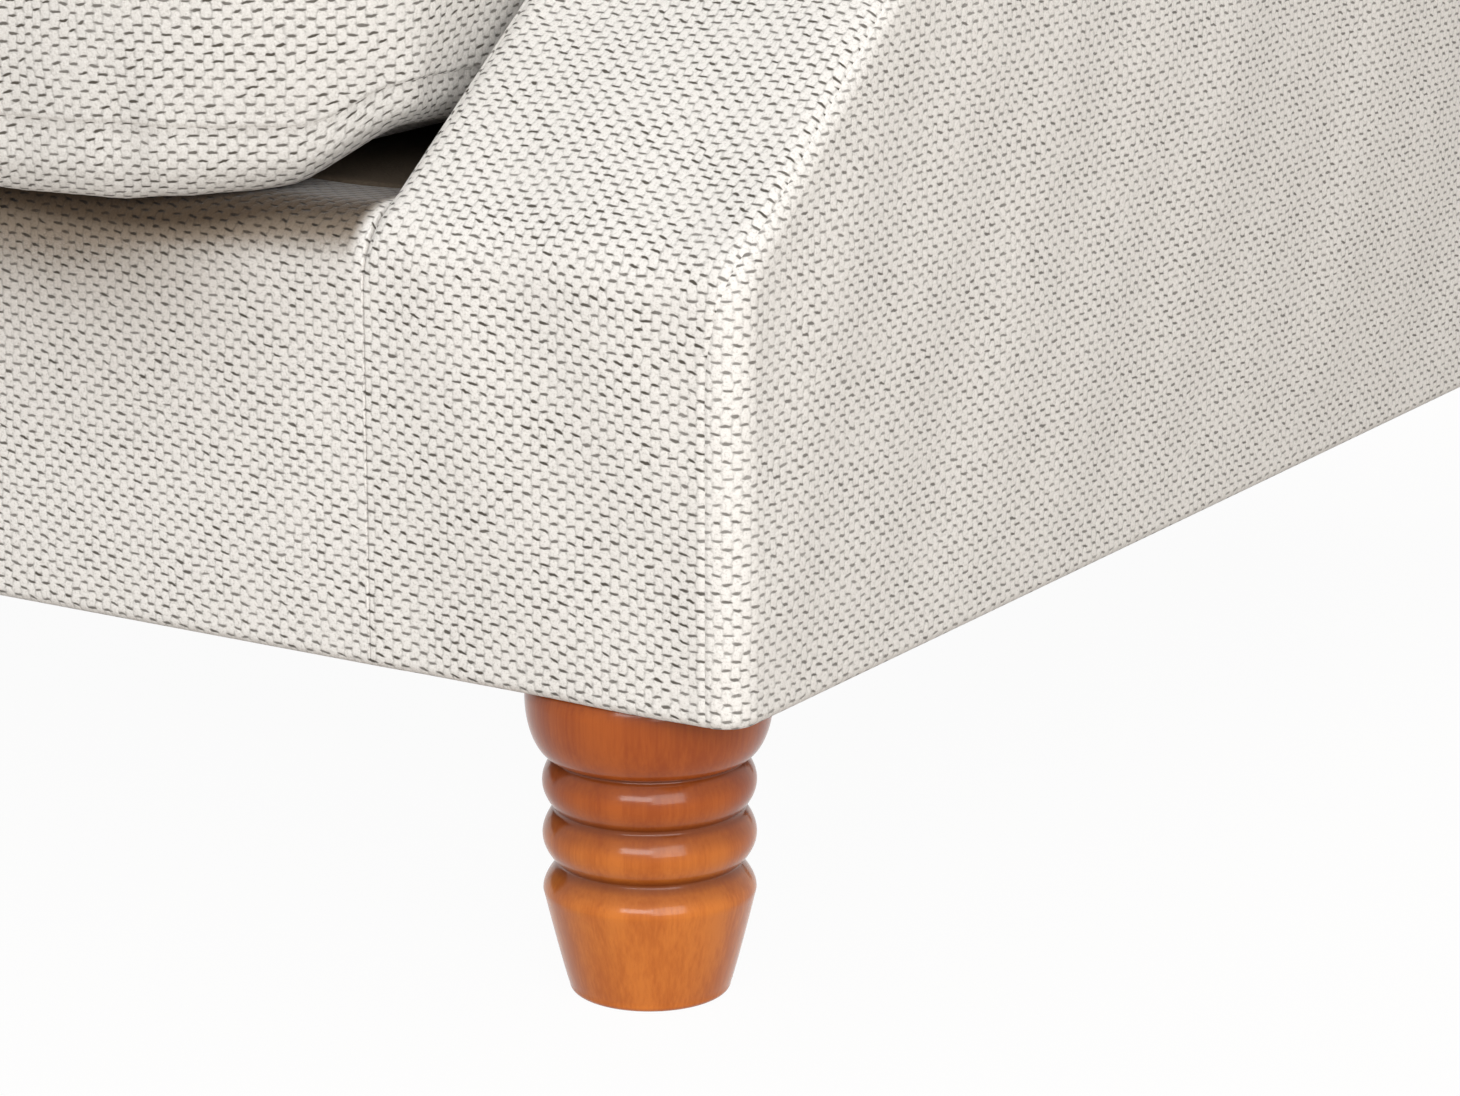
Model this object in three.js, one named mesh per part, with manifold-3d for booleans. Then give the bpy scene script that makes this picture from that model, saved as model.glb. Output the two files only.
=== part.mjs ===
// English roll arm sofa with two loose seat cushions and two loose back cushions.
// Millimetres, +Z up, the front faces -Y, left is -X and right is +X as seen from the front.
// The origin is on the floor, in the middle of the footprint.
import * as THREE from 'three';
import { mergeVertices } from 'three/addons/utils/BufferGeometryUtils.js';
import Module from 'manifold-3d';

const wasm = await Module();
wasm.setup();

// Body
const body_width = 1960; // across the outside arm panels
const base_depth = 925; // front face to rear face at the underside
const back_height = 860; // top of the back above the floor
const back_lean = 50; // the rear face goes back this far on its way up
const foot_height = 120; // underside of the body above the floor
const gap = 0.3; // between pieces that touch
const overrun = 60; // how far a cutting shape runs past what it cuts

// Arms
const arm_width = 157; // at the base
const arm_height = 605; // top of the roll above the floor
const knuckle_rise = 162; // from the underside to where the front starts to slope back
const knuckle_radius = 30;
const slope_angle = 50.5; // degrees of the sloping front back from upright
const arm_setback = 162; // the upright under the roll stands this far behind the front face
const setback_radius = 40;
const roll_radius = 85;
const roll_inset = 50; // centre of the roll inside the outside panel
const cover_thickness = 14; // padded cover of the arms and the front

// Seat
const deck_rise = 168; // top of the sprung deck above the underside
const deck_thickness = 26;
const deck_under_back = 40; // the deck runs on under the inside back
const border_radius = 22; // top front edge of the border

// Back
const back_base_thickness = 180; // inside back at deck height before the foot of the rear face
const inside_back_angle = 9.5; // degrees back from upright
const back_pad_thickness = 45;
const back_top_radius = 58;
const back_top_limit_share = 0.44; // the top radius stays under this share of the top's width
const back_side_inset = 58; // back above the arms inside the outside arm panel
const back_side_radius = 70;
const back_end_wall = 30; // solid end of the back above the arms
const back_panel_thickness = 5;
const back_panel_drop = 46; // top edge of the outside back below the top

// Wooden frame
const rail_thickness = 28;
const seat_rail_height = 118;
const board_thickness = 18;
const dust_cover_thickness = 1.5;
const centre_rail_drop = 18; // top of the centre rail below the springs
const block_length = 110; // corner block along each rail
const block_corner = 34; // width of the block's ends
const block_height = 40;
const tack_rail_height = 60;
const top_rail_height = 28;
const top_rail_depth = 105; // top of the arm rail under the top of the roll
const top_rail_width = 104;
const window_margin = 62;
const window_radius = 24;
const window_limit_share = 0.4; // the corner radius stays under this share of the height
const window_count = 3;
const post_distance = 90; // back post inside the outside arm panel
const lower_rail_rise = 22; // back lower rail above the deck
const back_rail_height = 58;

// Springs and webbing
const spring_count = 8;
const spring_margin = 88; // outer spring from the inside arm
const spring_width = 50;
const spring_wire_radius = 1.9;
const spring_bends = 20;
const spring_bend_radius = 9;
const spring_arch = 15;
const wire_sides = 4;
const clip_width = 12;
const clip_length = 20;
const clip_height = 5.4;
const strap_count = 4;
const strap_width = 60;
const strap_thickness = 1.6;

// Turned feet, heights above the floor and radii
const foot_inset_x = 69.6; // foot axis inside the outside arm panel
const foot_inset_y = 50.6; // foot axis inside the front and rear faces
const foot_base_radius = 27.5;
const foot_edge = 3;
const foot_cup_radius = 38.9;
const foot_cup_height = 38.6;
const foot_cup_power = 0.65;
const foot_low_groove_height = 49.5;
const foot_low_groove_radius = 33.6;
const foot_middle_groove_height = 70;
const foot_middle_groove_radius = 34.4;
const foot_high_groove_height = 89.5;
const foot_high_groove_radius = 34.6;
const foot_bead_radius = 38.9;
const foot_bun_radius = 45.1;
const foot_bun_height = 112;
const foot_top_radius = 43;
const bolt_radius = 4;
const bolt_in_foot = 30;
const bolt_past_block = 6;
const round_sides = 20;
const bolt_sides = 12;

// Loose cushions
const seat_overhang = 30; // front of the seat cushions past the front face
const cushion_clearance = 2; // beside a cushion
const rest_clearance = 0.3; // between a cushion and what it rests on
const seat_boxing = 117;
const seat_top_crown = 27;
const seat_bottom_crown = 24;
const seat_corner_draw = 70; // the front corners are drawn back this far
const seat_corner_power = 5.4;
const back_cushion_height = 408;
const back_cushion_boxing = 104;
const back_front_crown = 44;
const back_rear_crown = 16;
const back_corner_draw = 26;
const back_corner_power = 4;
const back_cushion_rise = 13; // lower rear seam above the seat cushion's top seam
const boxing_bulge = 6;
const rear_corner_radius = 26;
const casing_thickness = 2;
const insert_clearance = 0.5;
const zip_slit = 2.4;
const zip_margin = 90; // end of the zip opening from the cushion's side
const ring_shares = [0.94, 0.8, 0.5];
const soft_crown_power = 3;
const flat_crown_power = 12;
const side_shares = [0.25, 0.5, 0.75];

// Places worked out from the sizes above
const radians = Math.PI / 180;
const inside_back_y = base_depth - back_base_thickness;
const outer_x = body_width / 2;
const inner_x = outer_x - arm_width;
const underside_z = foot_height;
const knuckle_z = underside_z + knuckle_rise;
const deck_z = underside_z + deck_rise;
const frame_z = underside_z + dust_cover_thickness + gap;
const seat_rail_z = frame_z + seat_rail_height;
const lined = cover_thickness + gap;
const inside_panel_x = outer_x - lined - board_thickness;
const front_rail_y = lined + rail_thickness;
const rear_rail_y = base_depth - back_panel_thickness - gap;
const roll_centre = new THREE.Vector2(outer_x - roll_inset, arm_height - roll_radius);
const roll_join_z = roll_centre.y - Math.sqrt(roll_radius ** 2 - roll_inset ** 2);
const top_rail_z = arm_height - top_rail_depth - top_rail_height;
const back_panel_z = back_height - back_panel_drop;
const back_half_width = outer_x - back_side_inset;

// Materials
function material(color, roughness, metalness = 0) {
  return new THREE.MeshStandardMaterial({ color, roughness, metalness });
}
const chenille = material(0xe9e6e0, 0.9);
const stained_wood = material(0xb4571c, 0.3);
const frame_wood = material(0xc9a877, 0.7);
const spring_steel = material(0x8b8d90, 0.4, 0.9);
const zinc_steel = material(0xb3b3b0, 0.4, 0.9);
const webbing = material(0x2f3032, 0.9);
const dust_cloth = material(0x222324, 0.9);
const filling = material(0xf1efe6, 0.9);

// Points and lines in a plane
function point(x, y) {
  return new THREE.Vector2(x, y);
}

// An open line moved towards its left hand, with its corners kept sharp
function inset(line, distance) {
  const last = line.length - 1;
  return line.map((here, i) => {
    const into = here.clone().sub(line[Math.max(i - 1, 0)]).normalize();
    const out = line[Math.min(i + 1, last)].clone().sub(here).normalize();
    const first_way = i > 0 ? into : out;
    const next_way = i < last ? out : into;
    const left = point(-first_way.y - next_way.y, first_way.x + next_way.x);
    return here.clone().addScaledVector(left, (2 * distance) / left.lengthSq());
  });
}

// A line whose corners with a radius become arcs that touch both sides
function rounded(line, radii, steps) {
  return line.flatMap((corner, i) => {
    if (!radii[i]) return [corner];
    const back = line[(i + line.length - 1) % line.length].clone().sub(corner).normalize();
    const ahead = line[(i + 1) % line.length].clone().sub(corner).normalize();
    const half = Math.acos(back.dot(ahead)) / 2;
    const reach = radii[i] / Math.tan(half);
    const middle = back.clone().add(ahead).normalize().multiplyScalar(radii[i] / Math.sin(half));
    const centre = corner.clone().add(middle);
    const start = corner.clone().addScaledVector(back, reach).sub(centre);
    const end = corner.clone().addScaledVector(ahead, reach).sub(centre);
    const turn = Math.atan2(start.cross(end), start.dot(end));
    return Array.from({ length: steps + 1 }, (_, k) => {
      const spoke = start.clone().rotateAround(point(0, 0), (turn * k) / steps);
      return spoke.add(centre);
    });
  });
}

// Solids
function solidOf(geometry) {
  geometry.deleteAttribute('normal');
  geometry.deleteAttribute('uv');
  const merged = mergeVertices(geometry);
  const mesh = new wasm.Mesh({
    numProp: 3,
    vertProperties: new Float32Array(merged.attributes.position.array),
    triVerts: new Uint32Array(merged.index.array),
  });
  return new wasm.Manifold(mesh);
}

function geometryOf(solid) {
  const mesh = solid.getMesh();
  const geometry = new THREE.BufferGeometry();
  geometry.setAttribute('position', new THREE.BufferAttribute(mesh.vertProperties, 3));
  geometry.setIndex(new THREE.BufferAttribute(mesh.triVerts, 1));
  geometry.computeVertexNormals();
  return geometry;
}

function extruded(outline, from, to, across, up, along) {
  const shape = new THREE.Shape(outline);
  const geometry = new THREE.ExtrudeGeometry(shape, { depth: to - from, bevelEnabled: false });
  geometry.translate(0, 0, from);
  geometry.applyMatrix4(new THREE.Matrix4().makeBasis(across, up, along));
  return solidOf(geometry);
}

const x_axis = new THREE.Vector3(1, 0, 0);
const y_axis = new THREE.Vector3(0, 1, 0);
const z_axis = new THREE.Vector3(0, 0, 1);

// An outline in Y and Z, pulled along X
function alongX(outline, from, to) {
  return extruded(outline, from, to, y_axis, z_axis, x_axis);
}

// An outline in X and Z, pulled along Y
function alongY(outline, from, to) {
  return extruded(outline, -to, -from, x_axis, z_axis, y_axis.clone().negate());
}

// An outline in X and Y, pulled along Z
function alongZ(outline, from, to) {
  return extruded(outline, from, to, x_axis, y_axis, z_axis);
}

function block([x0, x1], [y0, y1], [z0, z1]) {
  return alongZ([point(x0, y0), point(x1, y0), point(x1, y1), point(x0, y1)], z0, z1);
}

function upright(radius, sides, from, to) {
  const geometry = new THREE.CylinderGeometry(radius, radius, to - from, sides);
  geometry.rotateX(90 * radians);
  geometry.translate(0, 0, (from + to) / 2);
  return geometry;
}

// The scene graph
const sofa = new THREE.Group();

function add(name, geometry, look, parent = sofa) {
  const mesh = new THREE.Mesh(geometry, look);
  mesh.name = name;
  parent.add(mesh);
  return mesh;
}

function mirrored(geometry) {
  const copy = geometry.clone();
  copy.scale(-1, 1, 1);
  const corners = copy.index.array;
  for (let i = 0; i < corners.length; i += 3) {
    [corners[i], corners[i + 1]] = [corners[i + 1], corners[i]];
  }
  copy.computeVertexNormals();
  return copy;
}

// A piece of the right half and its mirror image on the left
function addBoth(name, solid, look) {
  const geometry = geometryOf(solid);
  add(`right_${name}`, geometry, look);
  add(`left_${name}`, mirrored(geometry), look);
}

// The front, the back and the arms as lines, measured back from the front face
function rearY(z) {
  return base_depth + (back_lean * (z - underside_z)) / (back_height - underside_z);
}

function insideBackY(z) {
  return inside_back_y + (z - deck_z) * Math.tan(inside_back_angle * radians);
}

// The section of the right arm from the outer base over the roll to the inner base
function armSection() {
  const foot = point(inner_x, deck_z);
  const to_centre = roll_centre.clone().sub(foot);
  const tangent = Math.asin(roll_radius / to_centre.length());
  const lean = Math.atan2(to_centre.x, to_centre.y) - tangent;
  const start = -Math.acos(roll_inset / roll_radius);
  const end = Math.PI - lean;
  const steps = 18;
  const roll = Array.from({ length: steps + 1 }, (_, k) => {
    const angle = start + ((end - start) * k) / steps;
    return point(Math.cos(angle), Math.sin(angle)).multiplyScalar(roll_radius).add(roll_centre);
  });
  return [point(outer_x, underside_z), ...roll, foot, point(inner_x, underside_z)];
}

// The front of an arm seen from the side, from the top down, drawn in by a distance
function armFront(drawn_in) {
  const slope_top_z = knuckle_z + arm_setback / Math.tan(slope_angle * radians);
  const line = [
    point(arm_setback, arm_height + overrun),
    point(arm_setback, slope_top_z),
    point(0, knuckle_z),
    point(0, underside_z),
  ];
  const radii = [0, setback_radius + drawn_in, Math.max(knuckle_radius - drawn_in, 0), 0];
  return rounded(inset(line, drawn_in), radii, 4);
}

const arm_section = armSection();
const behind = back_panel_thickness + gap;
const inside_arm_section = inset(arm_section, lined);

// The side outline of an arm with its front and rear drawn in
function armSide(front_inset, rear_inset) {
  const top = arm_height + overrun;
  return [
    ...armFront(front_inset),
    point(rearY(underside_z) - rear_inset, underside_z),
    point(rearY(top) - rear_inset, top),
  ];
}

// A layer that follows the front of an arm
function armFrontLayer(from, to) {
  return [...armFront(from), ...armFront(to).reverse()];
}

// A layer that follows the inside back, between two heights
function backLayer(from, to, bottom, top) {
  const stretch = 1 / Math.cos(inside_back_angle * radians);
  return [
    point(insideBackY(bottom) + from * stretch, bottom),
    point(insideBackY(bottom) + to * stretch, bottom),
    point(insideBackY(top) + to * stretch, top),
    point(insideBackY(top) + from * stretch, top),
  ];
}

const arm_reach = [inner_x - overrun, outer_x + overrun];
const all_depth = [-overrun, base_depth + back_lean + overrun];
const all_width = [-outer_x - overrun, outer_x + overrun];

// The space inside the covers of an arm, up to the top rail
function armCavity() {
  const walls = alongY(inset(arm_section, cover_thickness), ...all_depth);
  const height = [underside_z - overrun, top_rail_z + top_rail_height + gap];
  return walls.intersect(block(arm_reach, all_depth, height));
}

// The wooden frame that the springs and the feet are fixed to
function addSeatFrame() {
  const rail_end = inside_panel_x - gap;
  const height = [frame_z, seat_rail_z];
  const between = [front_rail_y + gap, rear_rail_y - rail_thickness - gap];
  const front = block([-rail_end, rail_end], [lined, front_rail_y], height);
  const rear = block([-rail_end, rail_end], [rear_rail_y - rail_thickness, rear_rail_y], height);
  const side = block([rail_end - rail_thickness, rail_end], between, height);
  const centre_top = seat_rail_z - centre_rail_drop;
  const centre = block([-rail_thickness / 2, rail_thickness / 2], between, [frame_z, centre_top]);
  add('front_seat_rail', geometryOf(front), frame_wood);
  add('rear_seat_rail', geometryOf(rear), frame_wood);
  add('centre_seat_rail', geometryOf(centre), frame_wood);
  addBoth('side_seat_rail', side, frame_wood);
}

// The blocks glued into the corners of the frame, bored for the bolts of the feet
function addCornerBlocks() {
  const corner_x = inside_panel_x - rail_thickness - 2 * gap;
  const ends = [
    { name: 'front', corner_y: front_rail_y + gap, way: 1, foot_y: foot_inset_y },
    {
      name: 'rear',
      corner_y: rear_rail_y - rail_thickness - gap,
      way: -1,
      foot_y: base_depth - foot_inset_y,
    },
  ];
  for (const { name, corner_y, way, foot_y } of ends) {
    const far_y = corner_y + way * block_length;
    const outline = [
      point(corner_x, corner_y),
      point(corner_x - block_length, corner_y),
      point(corner_x - block_length, corner_y + way * block_corner),
      point(corner_x - block_corner, far_y),
      point(corner_x, far_y),
    ];
    const bore = upright(bolt_radius + gap, bolt_sides, frame_z - overrun, frame_z + overrun);
    bore.translate(outer_x - foot_inset_x, foot_y, 0);
    const body = alongZ(outline, frame_z, frame_z + block_height).subtract(solidOf(bore));
    addBoth(`${name}_corner_block`, body, frame_wood);
  }
}

const post_x = [outer_x - post_distance - rail_thickness, outer_x - post_distance];
const post_front_inset = back_pad_thickness + gap;
const post_front = post_front_inset / Math.cos(inside_back_angle * radians);

// The boards and rails inside an arm
function addArmFrame() {
  const inside = alongY(inside_arm_section, ...all_depth);
  const panel_top = top_rail_z - gap;
  const panel_x = [inside_panel_x, outer_x - lined];
  const outline = alongX(armSide(lined, behind), ...panel_x);
  const panel_height = [frame_z, panel_top];
  let panel = outline.intersect(block(arm_reach, all_depth, panel_height));
  const window_z = [seat_rail_z + window_margin / 2, panel_top - window_margin];
  const window_height = window_z[1] - window_z[0];
  const corner_radius = Math.min(window_radius, window_height * window_limit_share);
  const first_y = arm_setback + lined + window_margin;
  const last_y = rearY(frame_z) - behind - window_margin;
  const pitch = (last_y - first_y + window_margin) / window_count;
  for (let i = 0; i < window_count; i += 1) {
    const y = first_y + i * pitch;
    const corners = [
      point(y, window_z[0]),
      point(y + pitch - window_margin, window_z[0]),
      point(y + pitch - window_margin, window_z[1]),
      point(y, window_z[1]),
    ];
    const radii = corners.map(() => corner_radius);
    panel = panel.subtract(alongX(rounded(corners, radii, 2), ...arm_reach));
  }
  addBoth('arm_side_panel', panel, frame_wood);

  const former_x = [inner_x, inside_panel_x - gap];
  const former = alongX(armFrontLayer(lined, lined + board_thickness), ...former_x)
    .intersect(block(arm_reach, all_depth, [seat_rail_z + gap, panel_top]))
    .intersect(inside);
  addBoth('arm_front_former', former, frame_wood);

  const tack_x = inner_x + lined;
  const tack_height = [seat_rail_z + gap, seat_rail_z + gap + tack_rail_height];
  const tack_end = insideBackY(seat_rail_z) + post_front - gap;
  const behind_former = alongX(armSide(lined + board_thickness + gap, 0), ...arm_reach);
  const tack = block([inner_x, tack_x + rail_thickness], [0, tack_end], tack_height)
    .intersect(inside)
    .intersect(behind_former);
  addBoth('arm_tack_rail', tack, frame_wood);

  const top_rail_x = [outer_x - lined - top_rail_width, outer_x - lined];
  const top_rail_y = [arm_setback + lined, insideBackY(top_rail_z) + post_front - gap];
  const top_rail = block(top_rail_x, top_rail_y, [top_rail_z, top_rail_z + top_rail_height]);
  addBoth('arm_top_rail', top_rail.intersect(inside), frame_wood);
}

// A back post. The slot for it is wider by a clearance and runs out past its rear and ends.
function backPost(clearance) {
  const past = clearance > 0 ? overrun : 0;
  const bottom = seat_rail_z + gap - past;
  const top = back_panel_z - gap;
  const outline = [
    point(insideBackY(top) + post_front, top),
    point(insideBackY(bottom) + post_front, bottom),
    point(rearY(bottom) - behind + past, bottom),
    point(rearY(top) - behind + past, top),
  ];
  const grown = [...inset(outline.slice(0, 2), -clearance), ...outline.slice(2)];
  return alongX(grown, post_x[0] - clearance, post_x[1] + clearance);
}

// A rail between the back posts, grown all round by a clearance
function backRail(bottom, top, clearance) {
  const front = post_front_inset + strap_thickness + gap;
  const outline = backLayer(
    front - clearance,
    front + rail_thickness + clearance,
    bottom - clearance,
    top + clearance,
  );
  return alongX(outline, -post_x[0] + gap, post_x[0] - gap);
}

const lower_rail = [deck_z + lower_rail_rise, deck_z + lower_rail_rise + back_rail_height];
const top_rail = [back_panel_z - gap - back_rail_height, back_panel_z - gap];

function addBackFrame() {
  addBoth('back_post', backPost(0), frame_wood);
  add('back_lower_rail', geometryOf(backRail(...lower_rail, 0)), frame_wood);
  add('back_top_rail', geometryOf(backRail(...top_rail, 0)), frame_wood);
  const strap = [post_front_inset, post_front_inset + strap_thickness];
  const outline = backLayer(...strap, lower_rail[0] + gap, top_rail[1] - gap);
  const pitch = (2 * inner_x) / strap_count;
  for (let i = 0; i < strap_count; i += 1) {
    const middle = -inner_x + (i + 1 / 2) * pitch;
    const body = alongX(outline, middle - strap_width / 2, middle + strap_width / 2);
    add(`back_webbing_${i + 1}`, geometryOf(body), webbing);
  }
}

// A wire of few sides that follows points which lie nearly flat
function wire(points, radius, sides) {
  const last = points.length - 1;
  const positions = [];
  const triangles = [];
  points.forEach((here, i) => {
    const into = here.clone().sub(points[Math.max(i - 1, 0)]).normalize();
    const out = points[Math.min(i + 1, last)].clone().sub(here).normalize();
    const first_way = i > 0 ? into : out;
    const next_way = i < last ? out : into;
    const way = first_way.clone().add(next_way).normalize();
    const side = way.clone().cross(z_axis).normalize();
    const up = side.clone().cross(way);
    const mitre = 1 / way.dot(next_way);
    for (let k = 0; k < sides; k += 1) {
      const angle = (2 * Math.PI * (k + 1 / 2)) / sides;
      const corner = here.clone();
      corner.addScaledVector(side, radius * mitre * Math.cos(angle));
      corner.addScaledVector(up, radius * Math.sin(angle));
      positions.push(...corner);
      if (i === last) continue;
      const here_ring = i * sides;
      const next = (k + 1) % sides;
      const a = here_ring + k;
      const b = here_ring + next;
      triangles.push(a, b + sides, b, a, a + sides, b + sides);
    }
  });
  for (let k = 1; k < sides - 1; k += 1) {
    triangles.push(0, k, k + 1);
    triangles.push(last * sides, last * sides + k + 1, last * sides + k);
  }
  const geometry = new THREE.BufferGeometry();
  geometry.setAttribute('position', new THREE.Float32BufferAttribute(positions, 3));
  geometry.setIndex(triangles);
  return solidOf(geometry);
}

// Sinuous springs from the front rail to the rear rail, each with its two clips
function addSprings() {
  const front = front_rail_y - clip_length / 2;
  const rear = rear_rail_y - rail_thickness + clip_length / 2;
  const wire_z = seat_rail_z + gap + clip_height / 2;
  const pitch = (rear - front) / (spring_bends + 1);
  const half_width = spring_width / 2;
  const heightAt = (y) => {
    const share = (y - front) / (rear - front);
    return wire_z + spring_arch * 4 * share * (1 - share);
  };
  const route = [[0, front]];
  for (let i = 0; i <= spring_bends; i += 1) {
    const side = i % 2 ? -1 : 1;
    const y = front + i * pitch;
    const in_x = half_width - spring_bend_radius;
    if (i === spring_bends) {
      route.push([0, y + pitch / 2], [0, rear]);
    } else {
      route.push([-side * in_x, y + pitch / 2]);
      route.push([side * in_x, y + pitch / 2], [side * half_width, y + pitch]);
    }
  }
  const clips = [
    [front_rail_y - clip_length, front_rail_y],
    [rear_rail_y - rail_thickness, rear_rail_y - rail_thickness + clip_length],
  ];
  const clip_x = [-clip_width / 2, clip_width / 2];
  const clip_z = [seat_rail_z + gap, seat_rail_z + gap + clip_height];
  let spring = wire(
    route.map(([x, y]) => new THREE.Vector3(x, y, heightAt(y))),
    spring_wire_radius,
    wire_sides,
  );
  for (const clip_y of clips) spring = spring.add(block(clip_x, clip_y, clip_z));
  const geometry = geometryOf(spring);
  const first_x = -inner_x + spring_margin;
  const step = (-2 * first_x) / (spring_count - 1);
  for (let i = 0; i < spring_count; i += 1) {
    add(`seat_spring_${i + 1}`, geometry, spring_steel).position.x = first_x + i * step;
  }
}

// The profile of a turned foot from the middle of its base to the middle of its bolt hole
function footProfile() {
  const profile = [point(0, 0), point(foot_base_radius, 0)];
  const edge_radius = foot_base_radius + foot_edge;
  const cup_steps = 4;
  for (let k = 0; k <= cup_steps; k += 1) {
    const share = k / cup_steps;
    const radius = edge_radius + (foot_cup_radius - edge_radius) * share ** foot_cup_power;
    profile.push(point(radius, foot_edge + (foot_cup_height - foot_edge) * share));
  }
  const shoulder = { height: foot_low_groove_height, radius: foot_low_groove_radius };
  const middle = { height: foot_middle_groove_height, radius: foot_middle_groove_radius };
  const neck = { height: foot_high_groove_height, radius: foot_high_groove_radius };
  const turn_steps = 3;
  for (let k = 1; k <= turn_steps; k += 1) {
    const angle = (k / turn_steps) * 90 * radians;
    const radius = shoulder.radius + (foot_cup_radius - shoulder.radius) * Math.cos(angle);
    const height = foot_cup_height + (shoulder.height - foot_cup_height) * Math.sin(angle);
    profile.push(point(radius, height));
  }
  for (const [low, high] of [[shoulder, middle], [middle, neck]]) {
    const bead_steps = 4;
    for (let k = 1; k <= bead_steps; k += 1) {
      const angle = (k / bead_steps) * 180 * radians;
      const floor = low.radius + ((high.radius - low.radius) * k) / bead_steps;
      const radius = floor + (foot_bead_radius - floor) * Math.sin(angle);
      const half = (high.height - low.height) / 2;
      profile.push(point(radius, low.height + half * (1 - Math.cos(angle))));
    }
  }
  for (let k = 1; k <= turn_steps; k += 1) {
    const angle = (k / turn_steps) * 90 * radians;
    const radius = neck.radius + (foot_bun_radius - neck.radius) * Math.sin(angle);
    const height = foot_bun_height + (neck.height - foot_bun_height) * Math.cos(angle);
    profile.push(point(radius, height));
  }
  const top = foot_height - gap;
  const hole_radius = bolt_radius + gap;
  const hole_floor = foot_height - bolt_in_foot - gap;
  profile.push(point(foot_top_radius, top), point(hole_radius, top));
  profile.push(point(hole_radius, hole_floor), point(0, hole_floor));
  return profile;
}

// Four turned feet, each held by a hanger bolt in its corner block
function addFeet() {
  const lathe = new THREE.LatheGeometry(footProfile(), round_sides);
  lathe.rotateX(90 * radians);
  const foot = geometryOf(solidOf(lathe));
  const bolt_top = frame_z + block_height + bolt_past_block;
  const bolt = geometryOf(solidOf(
    upright(bolt_radius, bolt_sides, foot_height - bolt_in_foot, bolt_top),
  ));
  const places = [
    ['front_left', -1, foot_inset_y],
    ['front_right', 1, foot_inset_y],
    ['rear_left', -1, base_depth - foot_inset_y],
    ['rear_right', 1, base_depth - foot_inset_y],
  ];
  for (const [name, side, y] of places) {
    const x = side * (outer_x - foot_inset_x);
    add(`${name}_foot`, foot, stained_wood).position.set(x, y, 0);
    add(`${name}_foot_bolt`, bolt, zinc_steel).position.set(x, y, 0);
  }
}

// The cloth that closes the underside, bored for the bolts
function addDustCover() {
  const half_width = outer_x - lined;
  const thickness = [underside_z, underside_z + dust_cover_thickness];
  let cloth = block([-half_width, half_width], [lined, rear_rail_y], thickness);
  for (const side of [-1, 1]) {
    for (const y of [foot_inset_y, base_depth - foot_inset_y]) {
      const bore = upright(bolt_radius + gap, bolt_sides, 0, foot_height + overrun);
      bore.translate(side * (outer_x - foot_inset_x), y, 0);
      cloth = cloth.subtract(solidOf(bore));
    }
  }
  add('dust_cover', geometryOf(cloth), dust_cloth);
}

// The padded front border with its lip over the rail, and the sprung deck behind it
function addSeatCovers() {
  const half_width = inner_x - gap;
  const lip_z = seat_rail_z + clip_height + 2 * gap;
  const border = [
    point(0, underside_z),
    point(0, deck_z),
    point(front_rail_y, deck_z),
    point(front_rail_y, lip_z),
    point(cover_thickness, lip_z),
    point(cover_thickness, underside_z),
  ];
  const outline = rounded(border, [0, border_radius, 0, 0, 0, 0], 4);
  add('front_border_cover', geometryOf(alongX(outline, -half_width, half_width)), chenille);

  const deck_y = [front_rail_y + gap, inside_back_y + deck_under_back];
  const deck = block([-half_width, half_width], deck_y, [deck_z - deck_thickness, deck_z]);
  add('seat_deck', geometryOf(deck), chenille);
}

// The three padded covers of an arm
function addArmCovers() {
  const body = alongY(arm_section, ...all_depth);
  const below_roll = [underside_z - overrun, roll_join_z];
  const outside_wall = block([outer_x - lined, arm_reach[1]], all_depth, below_roll);

  const facing = alongX(armFrontLayer(0, cover_thickness), ...arm_reach)
    .intersect(body)
    .subtract(outside_wall);
  addBoth('arm_facing', facing, chenille);

  const wall = [outer_x - cover_thickness, arm_reach[1]];
  const outside = alongX(armSide(0, behind), ...arm_reach)
    .intersect(body)
    .intersect(block(wall, all_depth, [underside_z, roll_join_z - gap]));
  addBoth('outside_arm', outside, chenille);

  const hidden = [underside_z - overrun, seat_rail_z + gap];
  const inside = alongX(armSide(lined, behind), ...arm_reach)
    .intersect(body)
    .subtract(armCavity())
    .subtract(outside_wall)
    .subtract(block(arm_reach, all_depth, hidden))
    .subtract(backPost(gap))
    .subtract(backRail(...lower_rail, gap));
  addBoth('inside_arm', inside, chenille);
}

// The side outline of the whole back: up the inside, over the top and down the rear
function backSection() {
  const line = [
    point(insideBackY(deck_z + gap), deck_z + gap),
    point(insideBackY(back_height), back_height),
    point(rearY(back_height), back_height),
    point(rearY(deck_z + gap), deck_z + gap),
  ];
  const top_width = rearY(back_height) - insideBackY(back_height);
  const radius = Math.min(back_top_radius, top_width * back_top_limit_share);
  return rounded(line, [0, radius, radius, 0], 5);
}

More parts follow.
